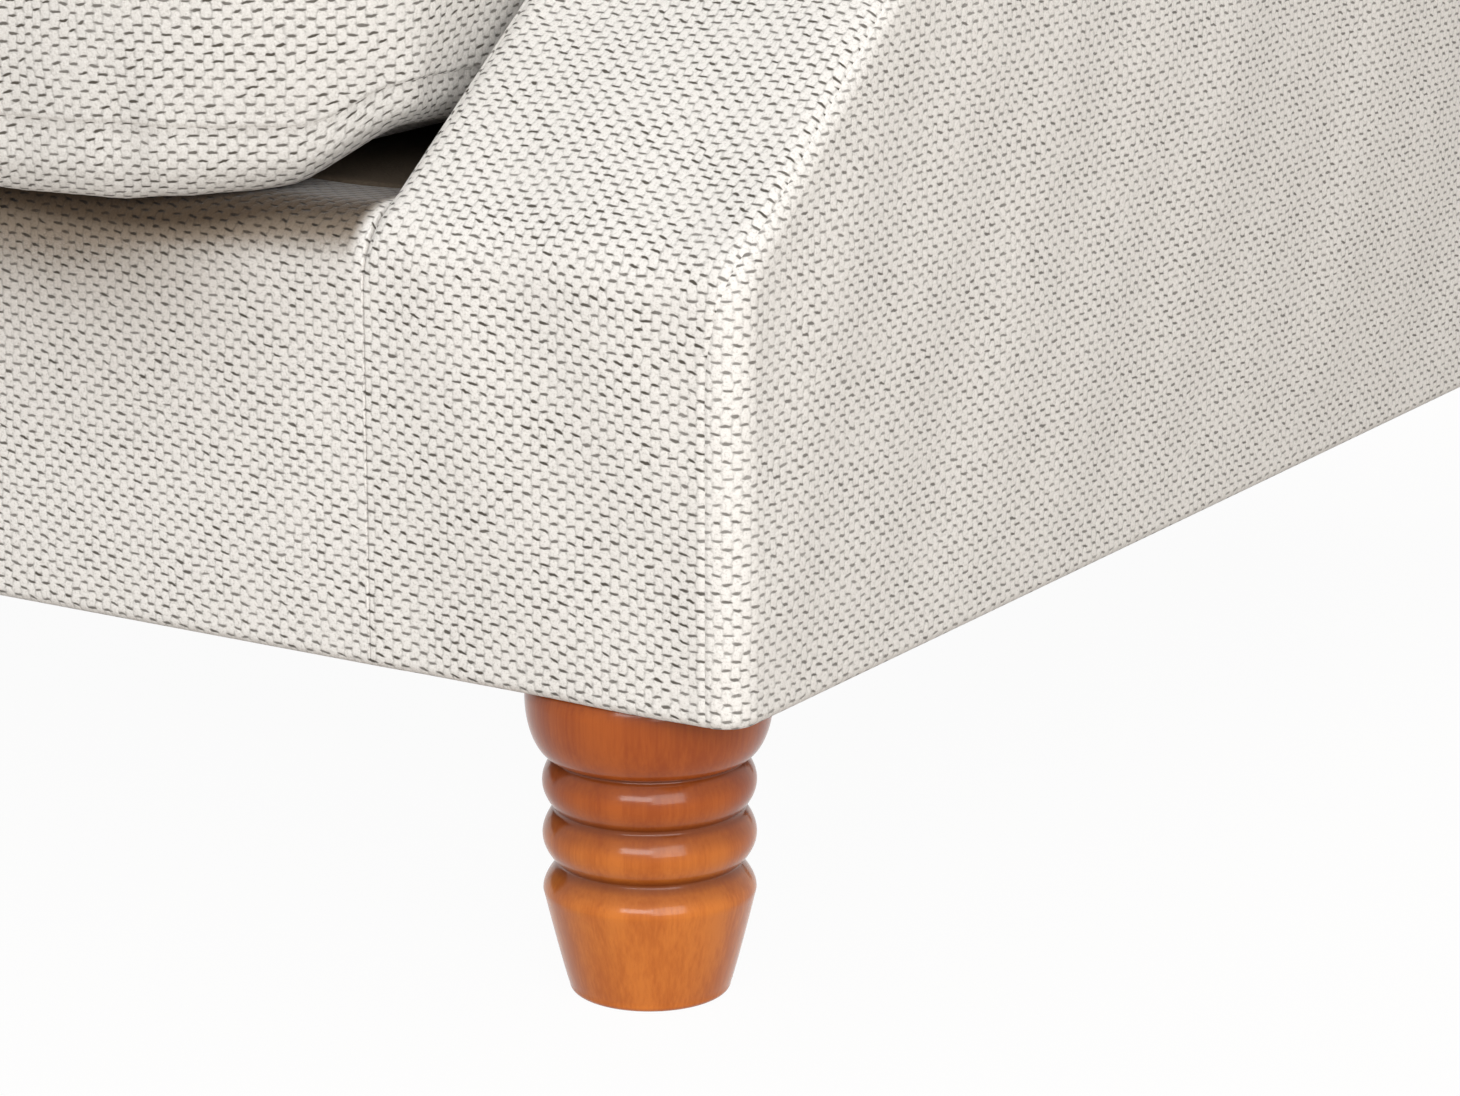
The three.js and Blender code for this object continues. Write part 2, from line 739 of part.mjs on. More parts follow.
// The padded inside back, which rolls over the top rail, and the outside back behind all
function addBackCovers() {
  const front_view = rounded(
    [
      point(-back_half_width, underside_z),
      point(-back_half_width, back_height),
      point(back_half_width, back_height),
      point(back_half_width, underside_z),
    ],
    [0, back_side_radius, back_side_radius, 0],
    4,
  );
  const panel_height = [underside_z - overrun, back_panel_z];
  const rear_wall = (thickness) => [
    point(rearY(panel_height[0]) - thickness, panel_height[0]),
    point(rearY(panel_height[0]) + overrun, panel_height[0]),
    point(rearY(panel_height[1]) + overrun, panel_height[1]),
    point(rearY(panel_height[1]) - thickness, panel_height[1]),
  ];
  const cavity_half_width = back_half_width - back_end_wall;
  const cavity = backLayer(
    back_pad_thickness,
    back_pad_thickness + base_depth,
    underside_z,
    back_panel_z,
  );
  const arm = alongY(inset(arm_section, -gap), ...all_depth);
  const left_arm = solidOf(mirrored(geometryOf(arm)));
  const inside = alongX(backSection(), ...all_width)
    .intersect(alongY(front_view, ...all_depth))
    .subtract(alongX(cavity, -cavity_half_width, cavity_half_width))
    .subtract(alongX(rear_wall(behind), ...all_width))
    .subtract(arm)
    .subtract(left_arm);
  add('inside_back', geometryOf(inside), chenille);

  const middle = block(
    [-back_half_width, back_half_width],
    all_depth,
    [underside_z, back_panel_z - gap],
  );
  const right_end = alongY(arm_section, ...all_depth);
  const left_end = solidOf(mirrored(geometryOf(right_end)));
  const rear_face = [
    point(rearY(underside_z) - back_panel_thickness, underside_z),
    point(rearY(underside_z), underside_z),
    point(rearY(back_panel_z), back_panel_z),
    point(rearY(back_panel_z) - back_panel_thickness, back_panel_z),
  ];
  const outside = middle
    .add(right_end)
    .add(left_end)
    .intersect(alongX(rear_face, ...all_width));
  add('outside_back', geometryOf(outside), chenille);
}

// The plan of a cushion: drawn-back front corners, straight sides, small rear corners
function cushionPlan(half_width, half_depth, draw, power) {
  const steps = 4;
  const front = Array.from({ length: 2 * steps + 1 }, (_, k) => {
    const across = Math.sin((k / steps - 1) * 90 * radians);
    return point(across * half_width, -half_depth + draw * Math.abs(across) ** power);
  });
  const side_start = -half_depth + draw;
  const side_end = half_depth - rear_corner_radius;
  const right = side_shares.map((share) => {
    return point(half_width, side_start + (side_end - side_start) * share);
  });
  const near = rear_corner_radius * (1 - Math.SQRT1_2);
  const rear = [
    point(half_width, side_end),
    point(half_width - near, half_depth - near),
    point(half_width - rear_corner_radius, half_depth),
    point(0, half_depth),
  ];
  const turned = [...right, ...rear.slice(0, 3)].reverse().map(({ x, y }) => point(-x, y));
  return [...front, ...right, ...rear, ...turned];
}

// A boxed cushion drawn in by a distance: rings of its plan from the middle of the
// underside, out to the lower seam, over the boxing and the upper seam to the middle of the top
function cushionForm(size, drawn_in) {
  const { width, depth, boxing, top_crown, bottom_crown, draw, power } = size;
  const plan = cushionPlan(width / 2 - drawn_in, depth / 2 - drawn_in, draw, power);
  const low_seam = bottom_crown;
  const high_seam = bottom_crown + boxing;
  const seam_share = 1 - (2 * boxing_bulge) / depth;
  const shares_in = [...ring_shares].reverse();
  const low = (share) => low_seam - (bottom_crown - drawn_in) * (1 - share ** flat_crown_power);
  const high = (share) => high_seam + (top_crown - drawn_in) * (1 - share ** soft_crown_power);
  const rings = [
    ...shares_in.map((share) => [share, low(share)]),
    [seam_share, low_seam],
    [1, (low_seam + high_seam) / 2],
    [seam_share, high_seam],
    ...ring_shares.map((share) => [share, high(share)]),
  ];
  const count = plan.length;
  const positions = [0, 0, low(0)];
  for (const [share, z] of rings) {
    for (const { x, y } of plan) positions.push(x * share, y * share, z);
  }
  positions.push(0, 0, high(0));
  const top = 1 + rings.length * count;
  const triangles = [];
  for (let k = 0; k < count; k += 1) {
    const next = (k + 1) % count;
    triangles.push(0, 1 + next, 1 + k);
    for (let ring = 0; ring < rings.length - 1; ring += 1) {
      const a = 1 + ring * count + k;
      const b = 1 + ring * count + next;
      triangles.push(a, b, b + count, a, b + count, a + count);
    }
    const last_ring = 1 + (rings.length - 1) * count;
    triangles.push(last_ring + k, last_ring + next, top);
  }
  const geometry = new THREE.BufferGeometry();
  geometry.setAttribute('position', new THREE.Float32BufferAttribute(positions, 3));
  geometry.setIndex(triangles);
  return geometry;
}

// A casing with its zip opening in the rear boxing, and the filling inside it
function addCushion(name, size) {
  const holder = new THREE.Group();
  const outer = solidOf(cushionForm(size, 0));
  const hollow = solidOf(cushionForm(size, casing_thickness));
  const zip_half = size.width / 2 - zip_margin;
  const zip_z = size.bottom_crown + size.boxing / 2;
  const slit = block(
    [-zip_half, zip_half],
    [size.depth / 2 - boxing_bulge - 2 * casing_thickness, size.depth / 2 + overrun],
    [zip_z - zip_slit / 2, zip_z + zip_slit / 2],
  );
  add(`${name}_cushion_cover`, geometryOf(outer.subtract(hollow).subtract(slit)), chenille, holder);
  const insert = solidOf(cushionForm(size, casing_thickness + insert_clearance));
  add(`${name}_cushion_insert`, geometryOf(insert), filling, holder);
  sofa.add(holder);
  return holder;
}

// Two seat cushions lie side by side on the deck and reach to the inside back. Two back
// cushions stand on them and lean on the inside back.
function addCushions() {
  const width = inner_x - 2 * cushion_clearance;
  const seat_front = -seat_overhang;
  const seat_rear = insideBackY(deck_z) - rest_clearance;
  const seat = {
    width,
    depth: seat_rear - seat_front,
    boxing: seat_boxing,
    top_crown: seat_top_crown,
    bottom_crown: seat_bottom_crown,
    draw: seat_corner_draw,
    power: seat_corner_power,
  };
  const back = {
    width,
    depth: back_cushion_height,
    boxing: back_cushion_boxing,
    top_crown: back_front_crown,
    bottom_crown: back_rear_crown,
    draw: back_corner_draw,
    power: back_corner_power,
  };
  const seat_z = deck_z + rest_clearance;
  const low_corner_z = seat_z + seat_bottom_crown + seat_boxing + back_cushion_rise;
  const lean = inside_back_angle * radians;
  const rise = back_cushion_height / 2;
  const centre_z = low_corner_z + rise * Math.cos(lean);
  const centre_y = insideBackY(centre_z) - rest_clearance / Math.cos(lean);
  for (const [name, side] of [['left', -1], ['right', 1]]) {
    const x = side * (cushion_clearance + width / 2);
    const seat_holder = addCushion(`${name}_seat`, seat);
    seat_holder.position.set(x, (seat_front + seat_rear) / 2, seat_z);
    const back_holder = addCushion(`${name}_back`, back);
    back_holder.rotation.set(90 * radians - lean, 0, 180 * radians);
    back_holder.position.set(x, centre_y, centre_z);
  }
}

addSeatFrame();
addCornerBlocks();
addArmFrame();
addBackFrame();
addSprings();
addFeet();
addDustCover();
addSeatCovers();
addArmCovers();
addBackCovers();
addCushions();

// Everything so far is measured back from the front face. The origin is mid-footprint.
sofa.updateMatrixWorld(true);
const extent = new THREE.Box3().setFromObject(sofa, true);
sofa.position.y = -(extent.min.y + extent.max.y) / 2;
sofa.updateMatrixWorld(true);

export default sofa;
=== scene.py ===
"""Upholstery, turned feet and studio for an english roll arm sofa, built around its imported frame.

Lengths are in metres. The sofa faces -Y, and its left is -X as seen from the front. Places are
measured back from the front face and up from the floor.
"""

import math

import bmesh
import bpy
import numpy as np
from bpy.props import FloatProperty, FloatVectorProperty, IntProperty, PointerProperty
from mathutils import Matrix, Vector


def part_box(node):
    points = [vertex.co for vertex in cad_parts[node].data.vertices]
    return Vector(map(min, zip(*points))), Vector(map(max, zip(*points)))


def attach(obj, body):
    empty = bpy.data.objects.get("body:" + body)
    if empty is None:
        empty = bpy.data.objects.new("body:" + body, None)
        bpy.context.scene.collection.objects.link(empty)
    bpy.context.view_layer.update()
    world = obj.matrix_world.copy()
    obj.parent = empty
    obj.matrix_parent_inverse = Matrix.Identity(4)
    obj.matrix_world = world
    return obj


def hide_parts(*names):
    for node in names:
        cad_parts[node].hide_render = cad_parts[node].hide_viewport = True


bl_info = {
    "name": "Roll Arm Sofa",
    "version": (1, 0, 0),
    "blender": (4, 5, 0),
    "location": "3D View > Sidebar > Sofa",
    "description": "Dresses the frame of an english roll arm sofa",
    "category": "Add Mesh",
}

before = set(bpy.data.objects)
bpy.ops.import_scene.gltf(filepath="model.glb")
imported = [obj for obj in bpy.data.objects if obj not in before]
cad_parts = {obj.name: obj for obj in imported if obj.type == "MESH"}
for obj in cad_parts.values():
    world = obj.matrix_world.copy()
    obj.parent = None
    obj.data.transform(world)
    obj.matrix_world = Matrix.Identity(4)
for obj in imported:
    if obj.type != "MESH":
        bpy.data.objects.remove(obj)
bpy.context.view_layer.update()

# The sign of X on each side
SIDES = {"left": -1, "right": 1}
ROOT = "sofa_body"
MM = 0.001

# Sizes that the covers share with the frame
ARM_WIDTH = 0.157
BACK_LEAN = 0.05
BACK_THICKNESS = 0.18
INSIDE_BACK_ANGLE = math.radians(9.5)
BORDER_RADIUS = 0.022

# Thicknesses, gaps and edges of the covers
COVER_THICKNESS = 0.012
REAR_PANEL_THICKNESS = 0.0053
REAR_COVER_GAP = 0.3 * MM
CREASE_DEPTH = 0.03
CREASE_RISE = 0.01
CREASE_CLEARANCE = 0.1 * MM
SEAM_STRIP = 0.004
WAVE_FADE = 0.05

# Heights where cushions and feet rest
REST_CLEARANCE = 0.3 * MM  # left between pieces that rest on each other
SEAT_LOW_CROWN = 0.024  # how far a seat cushion swells below its lower seam
BACK_CUSHION_RISE = 0.013  # from the seat cushion's boxing to the foot of the back cushion

# Places taken from the frame
FRONT_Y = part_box("right_arm_facing")[0].y
UNDERSIDE_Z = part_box("right_arm_facing")[0].z
ARM_TOP_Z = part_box("right_arm_facing")[1].z
OUTER_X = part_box("right_outside_arm")[1].x
DECK_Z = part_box("seat_deck")[1].z
DECK_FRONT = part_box("seat_deck")[0].y - FRONT_Y
INNER_X = OUTER_X - ARM_WIDTH
BACK_TOP_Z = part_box("inside_back")[1].z
BACK_HALF_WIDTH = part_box("inside_back")[1].x
BACK_PANEL_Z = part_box("outside_back")[1].z
REAR_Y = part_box("dust_cover")[1].y - FRONT_Y + REAR_PANEL_THICKNESS
BACK_LEAN_SLOPE = BACK_LEAN / (BACK_TOP_Z - UNDERSIDE_Z)
INSIDE_BACK_SLOPE = math.tan(INSIDE_BACK_ANGLE)
INSIDE_BACK_Y = REAR_Y - BACK_THICKNESS


# Values that a user would change


class ArmSizes(bpy.types.PropertyGroup):
    """Outline of the arms and the rounding of their covers"""

    knuckle_rise: FloatProperty(
        name="Knuckle rise", description="Underside to where the front slopes back",
        default=0.162, unit="LENGTH")
    knuckle_radius: FloatProperty(
        name="Knuckle radius", description="Bend where the slope starts",
        default=0.030, unit="LENGTH")
    slope_angle: FloatProperty(
        name="Slope angle", description="Sloping front back from upright",
        default=math.radians(50.5), subtype="ANGLE", unit="ROTATION")
    setback: FloatProperty(
        name="Setback", description="Upright under the roll behind the front face",
        default=0.162, unit="LENGTH")
    setback_radius: FloatProperty(
        name="Setback radius", description="Bend where the slope ends",
        default=0.040, unit="LENGTH")
    roll_radius: FloatProperty(
        name="Roll radius", description="Radius of the roll", default=0.085, unit="LENGTH")
    roll_inset: FloatProperty(
        name="Roll inset", description="Centre of the roll inside the outer panel",
        default=0.050, unit="LENGTH")
    corner_radius: FloatProperty(
        name="Corner radius", description="Upright outer front corner",
        default=0.013, unit="LENGTH")
    slope_corner_radius: FloatProperty(
        name="Slope corner radius", description="Outer corner along the slope",
        default=0.010, unit="LENGTH")
    inner_corner_radius: FloatProperty(
        name="Inner corner radius", description="Corner between facing and inside arm",
        default=0.012, unit="LENGTH")
    crease_radius: FloatProperty(
        name="Crease radius", description="Edges that meet in the crease beside the border",
        default=0.0012, unit="LENGTH")
    hem_radius: FloatProperty(
        name="Hem radius", description="Covers turned under at the underside",
        default=0.005, unit="LENGTH")


class CushionSizes(bpy.types.PropertyGroup):
    """Sizes of the loose cushions"""

    boxing: FloatProperty(
        name="Boxing", description="Height of the seat cushion's boxing",
        default=0.117, unit="LENGTH")
    back_boxing: FloatProperty(
        name="Back boxing", description="Depth of the back cushion's boxing",
        default=0.104, unit="LENGTH")
    back_height: FloatProperty(
        name="Back height", description="Height of the back cushions",
        default=0.408, unit="LENGTH")


class BackSizes(bpy.types.PropertyGroup):
    """Rounding and padding of the inside back"""

    top_radius: FloatProperty(
        name="Top radius", description="Rounding over the top rail", default=0.058,
        unit="LENGTH")
    corner_radius: FloatProperty(
        name="Corner radius", description="Top corners seen from the front", default=0.070,
        unit="LENGTH")
    end_radius: FloatProperty(
        name="End radius", description="Rounding of the two ends", default=0.025,
        unit="LENGTH")
    tuck: FloatProperty(
        name="Tuck", description="How far the pad presses into the arms", default=0.012,
        unit="LENGTH")
    padding: FloatProperty(
        name="Padding", description="Crown of the pad", default=0.005, unit="LENGTH")


class WeaveLook(bpy.types.PropertyGroup):
    """Colours and spacing of the chenille"""

    cream: FloatVectorProperty(
        name="Cream", description="Tufts of the chenille", size=3, subtype="COLOR",
        min=0.0, max=1.0, default=(0.87, 0.848, 0.818))
    shade: FloatVectorProperty(
        name="Shade", description="Ground between the tufts", size=3, subtype="COLOR",
        min=0.0, max=1.0, default=(0.085, 0.075, 0.062))
    pitch: FloatProperty(
        name="Pitch", description="From one dash to the next along a row",
        default=0.0072, unit="LENGTH")
    row_step: FloatProperty(
        name="Row step", description="From one row to the next", default=0.0031, unit="LENGTH")
    dash_length: FloatProperty(
        name="Dash length", description="Dark dash along the row",
        default=0.0033, unit="LENGTH")
    dash_height: FloatProperty(
        name="Dash height", description="Dark dash across the row",
        default=0.00102, unit="LENGTH")


class WoodLook(bpy.types.PropertyGroup):
    """Colours and facets of the turned feet"""

    light: FloatVectorProperty(
        name="Light", description="Light grain of the turned feet", size=3, subtype="COLOR",
        min=0.0, max=1.0, default=(0.61, 0.178, 0.023))
    dark: FloatVectorProperty(
        name="Dark", description="Dark grain of the turned feet", size=3, subtype="COLOR",
        min=0.0, max=1.0, default=(0.46, 0.112, 0.010))
    facets: IntProperty(
        name="Facets", description="Sides of a turned foot", default=96, min=24)


class StudioLook(bpy.types.PropertyGroup):
    """Lamps, surround and floor"""

    key: FloatProperty(name="Key", description="Power of the key lamp", default=94.0,
                       unit="POWER")
    side: FloatProperty(name="Side", description="Power of the side lamp", default=30.0,
                        unit="POWER")
    rear: FloatProperty(name="Rear", description="Power of the rear lamp", default=90.0,
                        unit="POWER")
    ambient: FloatProperty(name="Ambient", description="Strength of the surround", default=0.52)
    shadow_share: FloatProperty(
        name="Shadow share", description="How much of the floor's shadow the camera sees",
        default=0.06, min=0.0, max=1.0, subtype="FACTOR")


class SofaSettings(bpy.types.PropertyGroup):
    """All the settings of the sofa"""

    arms: PointerProperty(type=ArmSizes)
    cushions: PointerProperty(type=CushionSizes)
    back: PointerProperty(type=BackSizes)
    weave: PointerProperty(type=WeaveLook)
    wood: PointerProperty(type=WoodLook)
    studio: PointerProperty(type=StudioLook)


# Lines and surfaces


def unit(vectors):
    """Each vector divided by its own length."""
    return vectors / np.linalg.norm(vectors, axis=-1, keepdims=True)


def smooth_line(corners, radii, arc_steps=32):
    """Straight runs between corners, where an arc that touches both runs takes the place of each
    corner: its centre lies on the bisector, at the radius over the sine of half the angle."""
    corners = np.asarray(corners, float)
    runs = [corners[:1]]
    for before, here, after, radius in zip(corners, corners[1:], corners[2:], radii):
        back, ahead = unit(before - here), unit(after - here)
        half = math.acos(back @ ahead) / 2
        centre = here + unit(back + ahead) * radius / math.sin(half)
        start = here + back * radius / math.tan(half) - centre
        end = here + ahead * radius / math.tan(half) - centre
        turn = math.atan2(start[0] * end[1] - start[1] * end[0], start @ end)
        angles = np.linspace(0, turn, arc_steps + 1)
        cosines, sines = np.cos(angles), np.sin(angles)
        spokes = [start[0] * cosines - start[1] * sines, start[0] * sines + start[1] * cosines]
        runs.append(centre + np.stack(spokes, -1))
    return np.concatenate([*runs, corners[-1:]])


def lengths_along(points):
    """The distance from the first point to each point, along the line."""
    steps = np.linalg.norm(np.diff(points, axis=0), axis=-1)
    return np.concatenate([[0.0], np.cumsum(steps)])


def on_line(points, distances):
    """Points at the given distances along a line, and the unit normals on its right hand. The way
    of the line there is the difference of the points a small step ahead and behind."""
    total = lengths_along(points)

    def place(at):
        return np.stack([np.interp(at, total, points[:, k]) for k in (0, 1)], -1)

    small_step = 0.4 * MM
    way = unit(place(distances + small_step) - place(distances - small_step))
    return place(distances), np.stack([way[..., 1], -way[..., 0]], -1)


def distance_to_line(points, line):
    """The least distance from each point to any run of the line: each point is dropped onto each
    run, the foot is kept between the run's ends, and the shortest of these is taken."""
    start, run = line[:-1], np.diff(line, axis=0)
    offsets = points[..., None, :] - start
    share = np.clip((offsets * run).sum(-1) / np.maximum((run * run).sum(-1), 1e-12), 0, 1)
    return np.linalg.norm(offsets - share[..., None] * run, axis=-1).min(-1)


def rolled(distance, radius):
    """How deep an edge of this radius has turned at a distance inside the edge: the radius less
    the height of a quarter circle."""
    short = np.clip(radius - distance, 0, radius)
    return radius - np.sqrt(radius**2 - short**2)


def spread(count, crowding=0.9):
    """Shares from 0 to 1 that crowd towards both ends: t less a sine of one turn."""
    t = np.linspace(0, 1, count)
    return t - crowding * np.sin(2 * np.pi * t) / (2 * np.pi)


def ease(low, high, value):
    """A smooth step from 0 at low to 1 at high: three squares less two cubes."""
    share = np.clip((value - low) / (high - low), 0, 1)
    return share * share * (3 - 2 * share)


def blend(first, second, share):
    """A share of the way from the first value to the second."""
    return first + (second - first) * share


def seam_dip(distance):
    """The shape of a seam across its line: a narrow valley between two low ridges, each a bell."""
    depth, half_width = 0.35 * MM, 1.1 * MM
    height, offset, ridge_half_width = 0.2 * MM, 2.4 * MM, 1.5 * MM
    valley = depth * np.exp(-((distance / half_width) ** 2))
    ridge = height * np.exp(-(((np.abs(distance) - offset) / ridge_half_width) ** 2))
    return valley - ridge


def unevenness(first, second, seed, size=0.09, height=0.0007):
    """Slow waves in two directions: a sum of sines of seeded directions, lengths and starts."""
    draw = np.random.default_rng(seed)
    total = np.zeros(np.broadcast(first, second).shape)
    waves = 9
    for angle, stretch, start in draw.uniform(0, 1, (waves, 3)):
        turn = 2 * np.pi * angle
        length = size * (0.5 + 1.5 * stretch)
        phase = (first * np.cos(turn) + second * np.sin(turn)) / length + start
        total = total + np.sin(2 * np.pi * phase)
    return total * height / math.sqrt(waves / 2)


def surface(name, patches, material, body=ROOT, weld=0.02 * MM):
    """A closed piece from patches. A patch is a grid of points and the cloth coordinates of its
    points. Neighbouring grid points make four-sided faces, edges that lie on each other are
    welded, and the faces are turned outwards."""
    points, cloth, faces, count = [], [], [], 0
    for grid, uv in patches:
        rows, columns = grid.shape[:2]
        index = count + np.arange(rows * columns).reshape(rows, columns)
        corners = [index[:-1, :-1], index[:-1, 1:], index[1:, 1:], index[1:, :-1]]
        faces.append(np.stack(corners, -1).reshape(-1, 4))
        points.append(grid.reshape(-1, 3))
        cloth.append(uv.reshape(-1, 2))
        count += rows * columns
    points, cloth = np.concatenate(points), np.concatenate(cloth)
    faces = np.concatenate(faces)
    mesh = bpy.data.meshes.new(name)
    mesh.from_pydata(points.tolist(), [], faces.tolist())
    layer = mesh.uv_layers.new(name="cloth")
    layer.data.foreach_set("uv", cloth[faces.ravel()].astype(np.float32).ravel())
    work = bmesh.new()
    work.from_mesh(mesh)
    bmesh.ops.remove_doubles(work, verts=work.verts, dist=weld)
    bmesh.ops.recalc_face_normals(work, faces=work.faces)
    work.to_mesh(mesh)
    work.free()
    mesh.shade_smooth()
    mesh.materials.append(bpy.data.materials[material])
    piece = bpy.data.objects.new(name, mesh)
    bpy.context.scene.collection.objects.link(piece)
    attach(piece, body)
    return piece


def shell(front, back, uv):
    """The patches of a panel: its face, its back and the four strips that join their edges."""
    patches = [(front, uv), (back, uv)]
    for edge in (np.s_[0, :], np.s_[-1, :], np.s_[:, 0], np.s_[:, -1]):
        strip = np.stack([front[edge], back[edge]])
        patches.append((strip, np.stack([uv[edge], uv[edge]])))
    return patches


def laid_cloth(points, flat):
    """Cloth coordinates whose first one is measured over the surface from the middle of each row,
    so that the weave isn't stretched where an edge turns away."""
    steps = np.linalg.norm(np.diff(points, axis=1), axis=-1)
    total = np.concatenate([np.zeros_like(steps[:, :1]), np.cumsum(steps, axis=1)], 1)
    middle = total.shape[1] // 2
    first = flat[:, middle:middle + 1, 0] + total - total[:, middle:middle + 1]
    return np.stack([first, flat[..., 1]], -1)


def placed(x, back, up):
    """Points from their place across, their distance back from the front face and height."""
    return np.stack(np.broadcast_arrays(x, FRONT_Y + back, up), -1)


def rear_face(z):
    """The rear face leans back evenly from the underside to the top."""
    return REAR_Y + BACK_LEAN_SLOPE * (z - UNDERSIDE_Z)


def inside_back(z):
    """The inside back leans back evenly from the deck to the top."""
    return INSIDE_BACK_Y + INSIDE_BACK_SLOPE * (z - DECK_Z)


class Arm:
    """The outlines of an arm: the front line seen from the side, and the section seen from the
    front, whose outer and inner edges are given at each height."""

    def __init__(self, sizes):
        knuckle_z = UNDERSIDE_Z + sizes.knuckle_rise
        slope_top = knuckle_z + sizes.setback / math.tan(sizes.slope_angle)
        overrun = 0.05
        corners = [(0, UNDERSIDE_Z), (0, knuckle_z), (sizes.setback, slope_top),
                   (sizes.setback, ARM_TOP_Z + overrun)]
        self.front = smooth_line(corners, [sizes.knuckle_radius, sizes.setback_radius])
        self.front_lengths = lengths_along(self.front)
        radius = sizes.roll_radius
        self.roll_radius = radius
        self.roll_x, self.roll_z = OUTER_X - sizes.roll_inset, ARM_TOP_Z - radius
        to_x, to_z = self.roll_x - INNER_X, self.roll_z - DECK_Z
        self.lean = math.atan2(to_x, to_z) - math.asin(radius / math.hypot(to_x, to_z))
        self.join_angle = -math.acos(sizes.roll_inset / radius)
        steps = 64
        outer = np.linspace(self.join_angle, math.pi / 2, steps)
        inner = np.linspace(math.pi - self.lean, math.pi / 2, steps)
        self.outer_line = np.concatenate([[(OUTER_X, UNDERSIDE_Z)], self.on_roll(outer)])
        self.inner_line = np.concatenate(
            [[(INNER_X, UNDERSIDE_Z), (INNER_X, DECK_Z)], self.on_roll(inner)])
        self.join_z = self.outer_line[1][1]
        self.sizes = sizes

    def on_roll(self, angles):
        """Points on the roll's circle at these angles from its outer side."""
        spokes = np.stack([np.cos(angles), np.sin(angles)], -1)
        return (self.roll_x, self.roll_z) + self.roll_radius * spokes

    def length_at(self, z):
        """The distance along the front line at a height."""
        return np.interp(z, self.front[:, 1], self.front_lengths)

    def outer_x(self, z):
        """How far out the outer face is at a height, along straight steps of its section."""
        return np.interp(z, self.outer_line[:, 1], self.outer_line[:, 0])

    def inner_x(self, z):
        """How far out the inner face is at a height, in the same way."""
        return np.interp(z, self.inner_line[:, 1], self.inner_line[:, 0])

    def outer_radius(self, z):
        """The outer corner is round on the upright and tighter along the slope."""
        under_knuckle, slope_rise = 0.03, 0.2
        tight = ease(self.sizes.knuckle_rise + UNDERSIDE_Z - under_knuckle,
                     UNDERSIDE_Z + slope_rise, z)
        return blend(self.sizes.corner_radius, self.sizes.slope_corner_radius, tight)

    def outer_seam(self, z):
        """How far the outer seam has gone round the corner from its start on the front: not at
        all on the upright, and half the quarter turn along the slope."""
        first_rise, last_rise = 0.12, 0.19
        before_corner = 0.8 * MM
        turned = ease(UNDERSIDE_Z + first_rise, UNDERSIDE_Z + last_rise, z)
        return blend(-before_corner, self.outer_radius(z) * math.pi / 4, turned)

    def above_crease(self, z):
        """From 0 in the crease beside the border to 1 above the deck."""
        return ease(DECK_Z - CREASE_DEPTH, DECK_Z + CREASE_RISE, z)

    def inner_radius(self, z):
        """The inner corner is tighter in the crease beside the border than above it."""
        return blend(self.sizes.crease_radius, self.sizes.inner_corner_radius,
                     self.above_crease(z))

    def inner_seam_inset(self, z):
        """The inner seam lies in the crease beside the border, and half round the corner above."""
        half_round = self.inner_radius(z) * (1 - math.sqrt(0.5))
        return blend(CREASE_CLEARANCE, half_round, self.above_crease(z))


def arm_shape():
    """The outlines of the arms at the sizes that are set in the panel."""
    return Arm(bpy.context.scene.roll_arm_sofa.arms)


# Nodes


class Graph:
    """Adds nodes to a tree and links them."""

    def __init__(self, tree):
        self.tree = tree
        tree.nodes.clear()

    def add(self, kind, values=None, **settings):
        """A new node with these settings, and with values or links for its inputs."""
        node = self.tree.nodes.new(kind)
        for name, value in settings.items():
            setattr(node, name, value)
        for name, value in (values or {}).items():
            self.feed(node.inputs[name], value)
        return node

    def feed(self, socket, value):
        """Link another socket to this one, or set its value."""
        if isinstance(value, bpy.types.NodeSocket):
            self.tree.links.new(value, socket)
        else:
            socket.default_value = value

    def math(self, operation, *values):
        """The result of one operation on numbers."""
        node = self.add("ShaderNodeMath", operation=operation)
        for socket, value in zip(node.inputs, values):
            self.feed(socket, value)
        return node.outputs[0]

    def vector(self, operation, *values):
        """The result of one operation on vectors."""
        node = self.add("ShaderNodeVectorMath", operation=operation)
        for socket, value in zip(node.inputs, values):
            self.feed(socket, value)
        return node.outputs[0]

    def mixed(self, share, first, second, blend_type="MIX"):
        """A share of the way from the first colour to the second."""
        node = self.add("ShaderNodeMix", data_type="RGBA", blend_type=blend_type)
        for socket, value in ((0, share), (6, first), (7, second)):
            self.feed(node.inputs[socket], value)
        return node.outputs[2]

    def step(self, value, low, high, to_low=0.0, to_high=1.0):
        """A smooth step from to_low at low to to_high at high."""
        settings = {"From Min": low, "From Max": high, "To Min": to_low, "To Max": to_high}
        node = self.add("ShaderNodeMapRange", {"Value": value, **settings},
                        interpolation_type="SMOOTHSTEP")
        return node.outputs[0]

    def noise(self, vector, scale, detail=2.0, roughness=0.5):
        """Clouds of noise at this many to the metre."""
        values = {"Vector": vector, "Scale": scale, "Detail": detail, "Roughness": roughness}
        return self.add("ShaderNodeTexNoise", values)


def rgba(color):
    """A colour with full alpha."""
    return (*color, 1.0)


def new_group(name, inputs, outputs):
    """A node group with the named inputs and outputs, each given with its socket kind."""
    tree = bpy.data.node_groups.new(name, "ShaderNodeTree")
    graph = Graph(tree)
    for label, kind, default in inputs:
        socket = tree.interface.new_socket(label, in_out="INPUT", socket_type=kind)
        if default is not None:
            socket.default_value = default
    for label, kind in outputs:
        tree.interface.new_socket(label, in_out="OUTPUT", socket_type=kind)
    return graph, graph.add("NodeGroupInput"), graph.add("NodeGroupOutput")


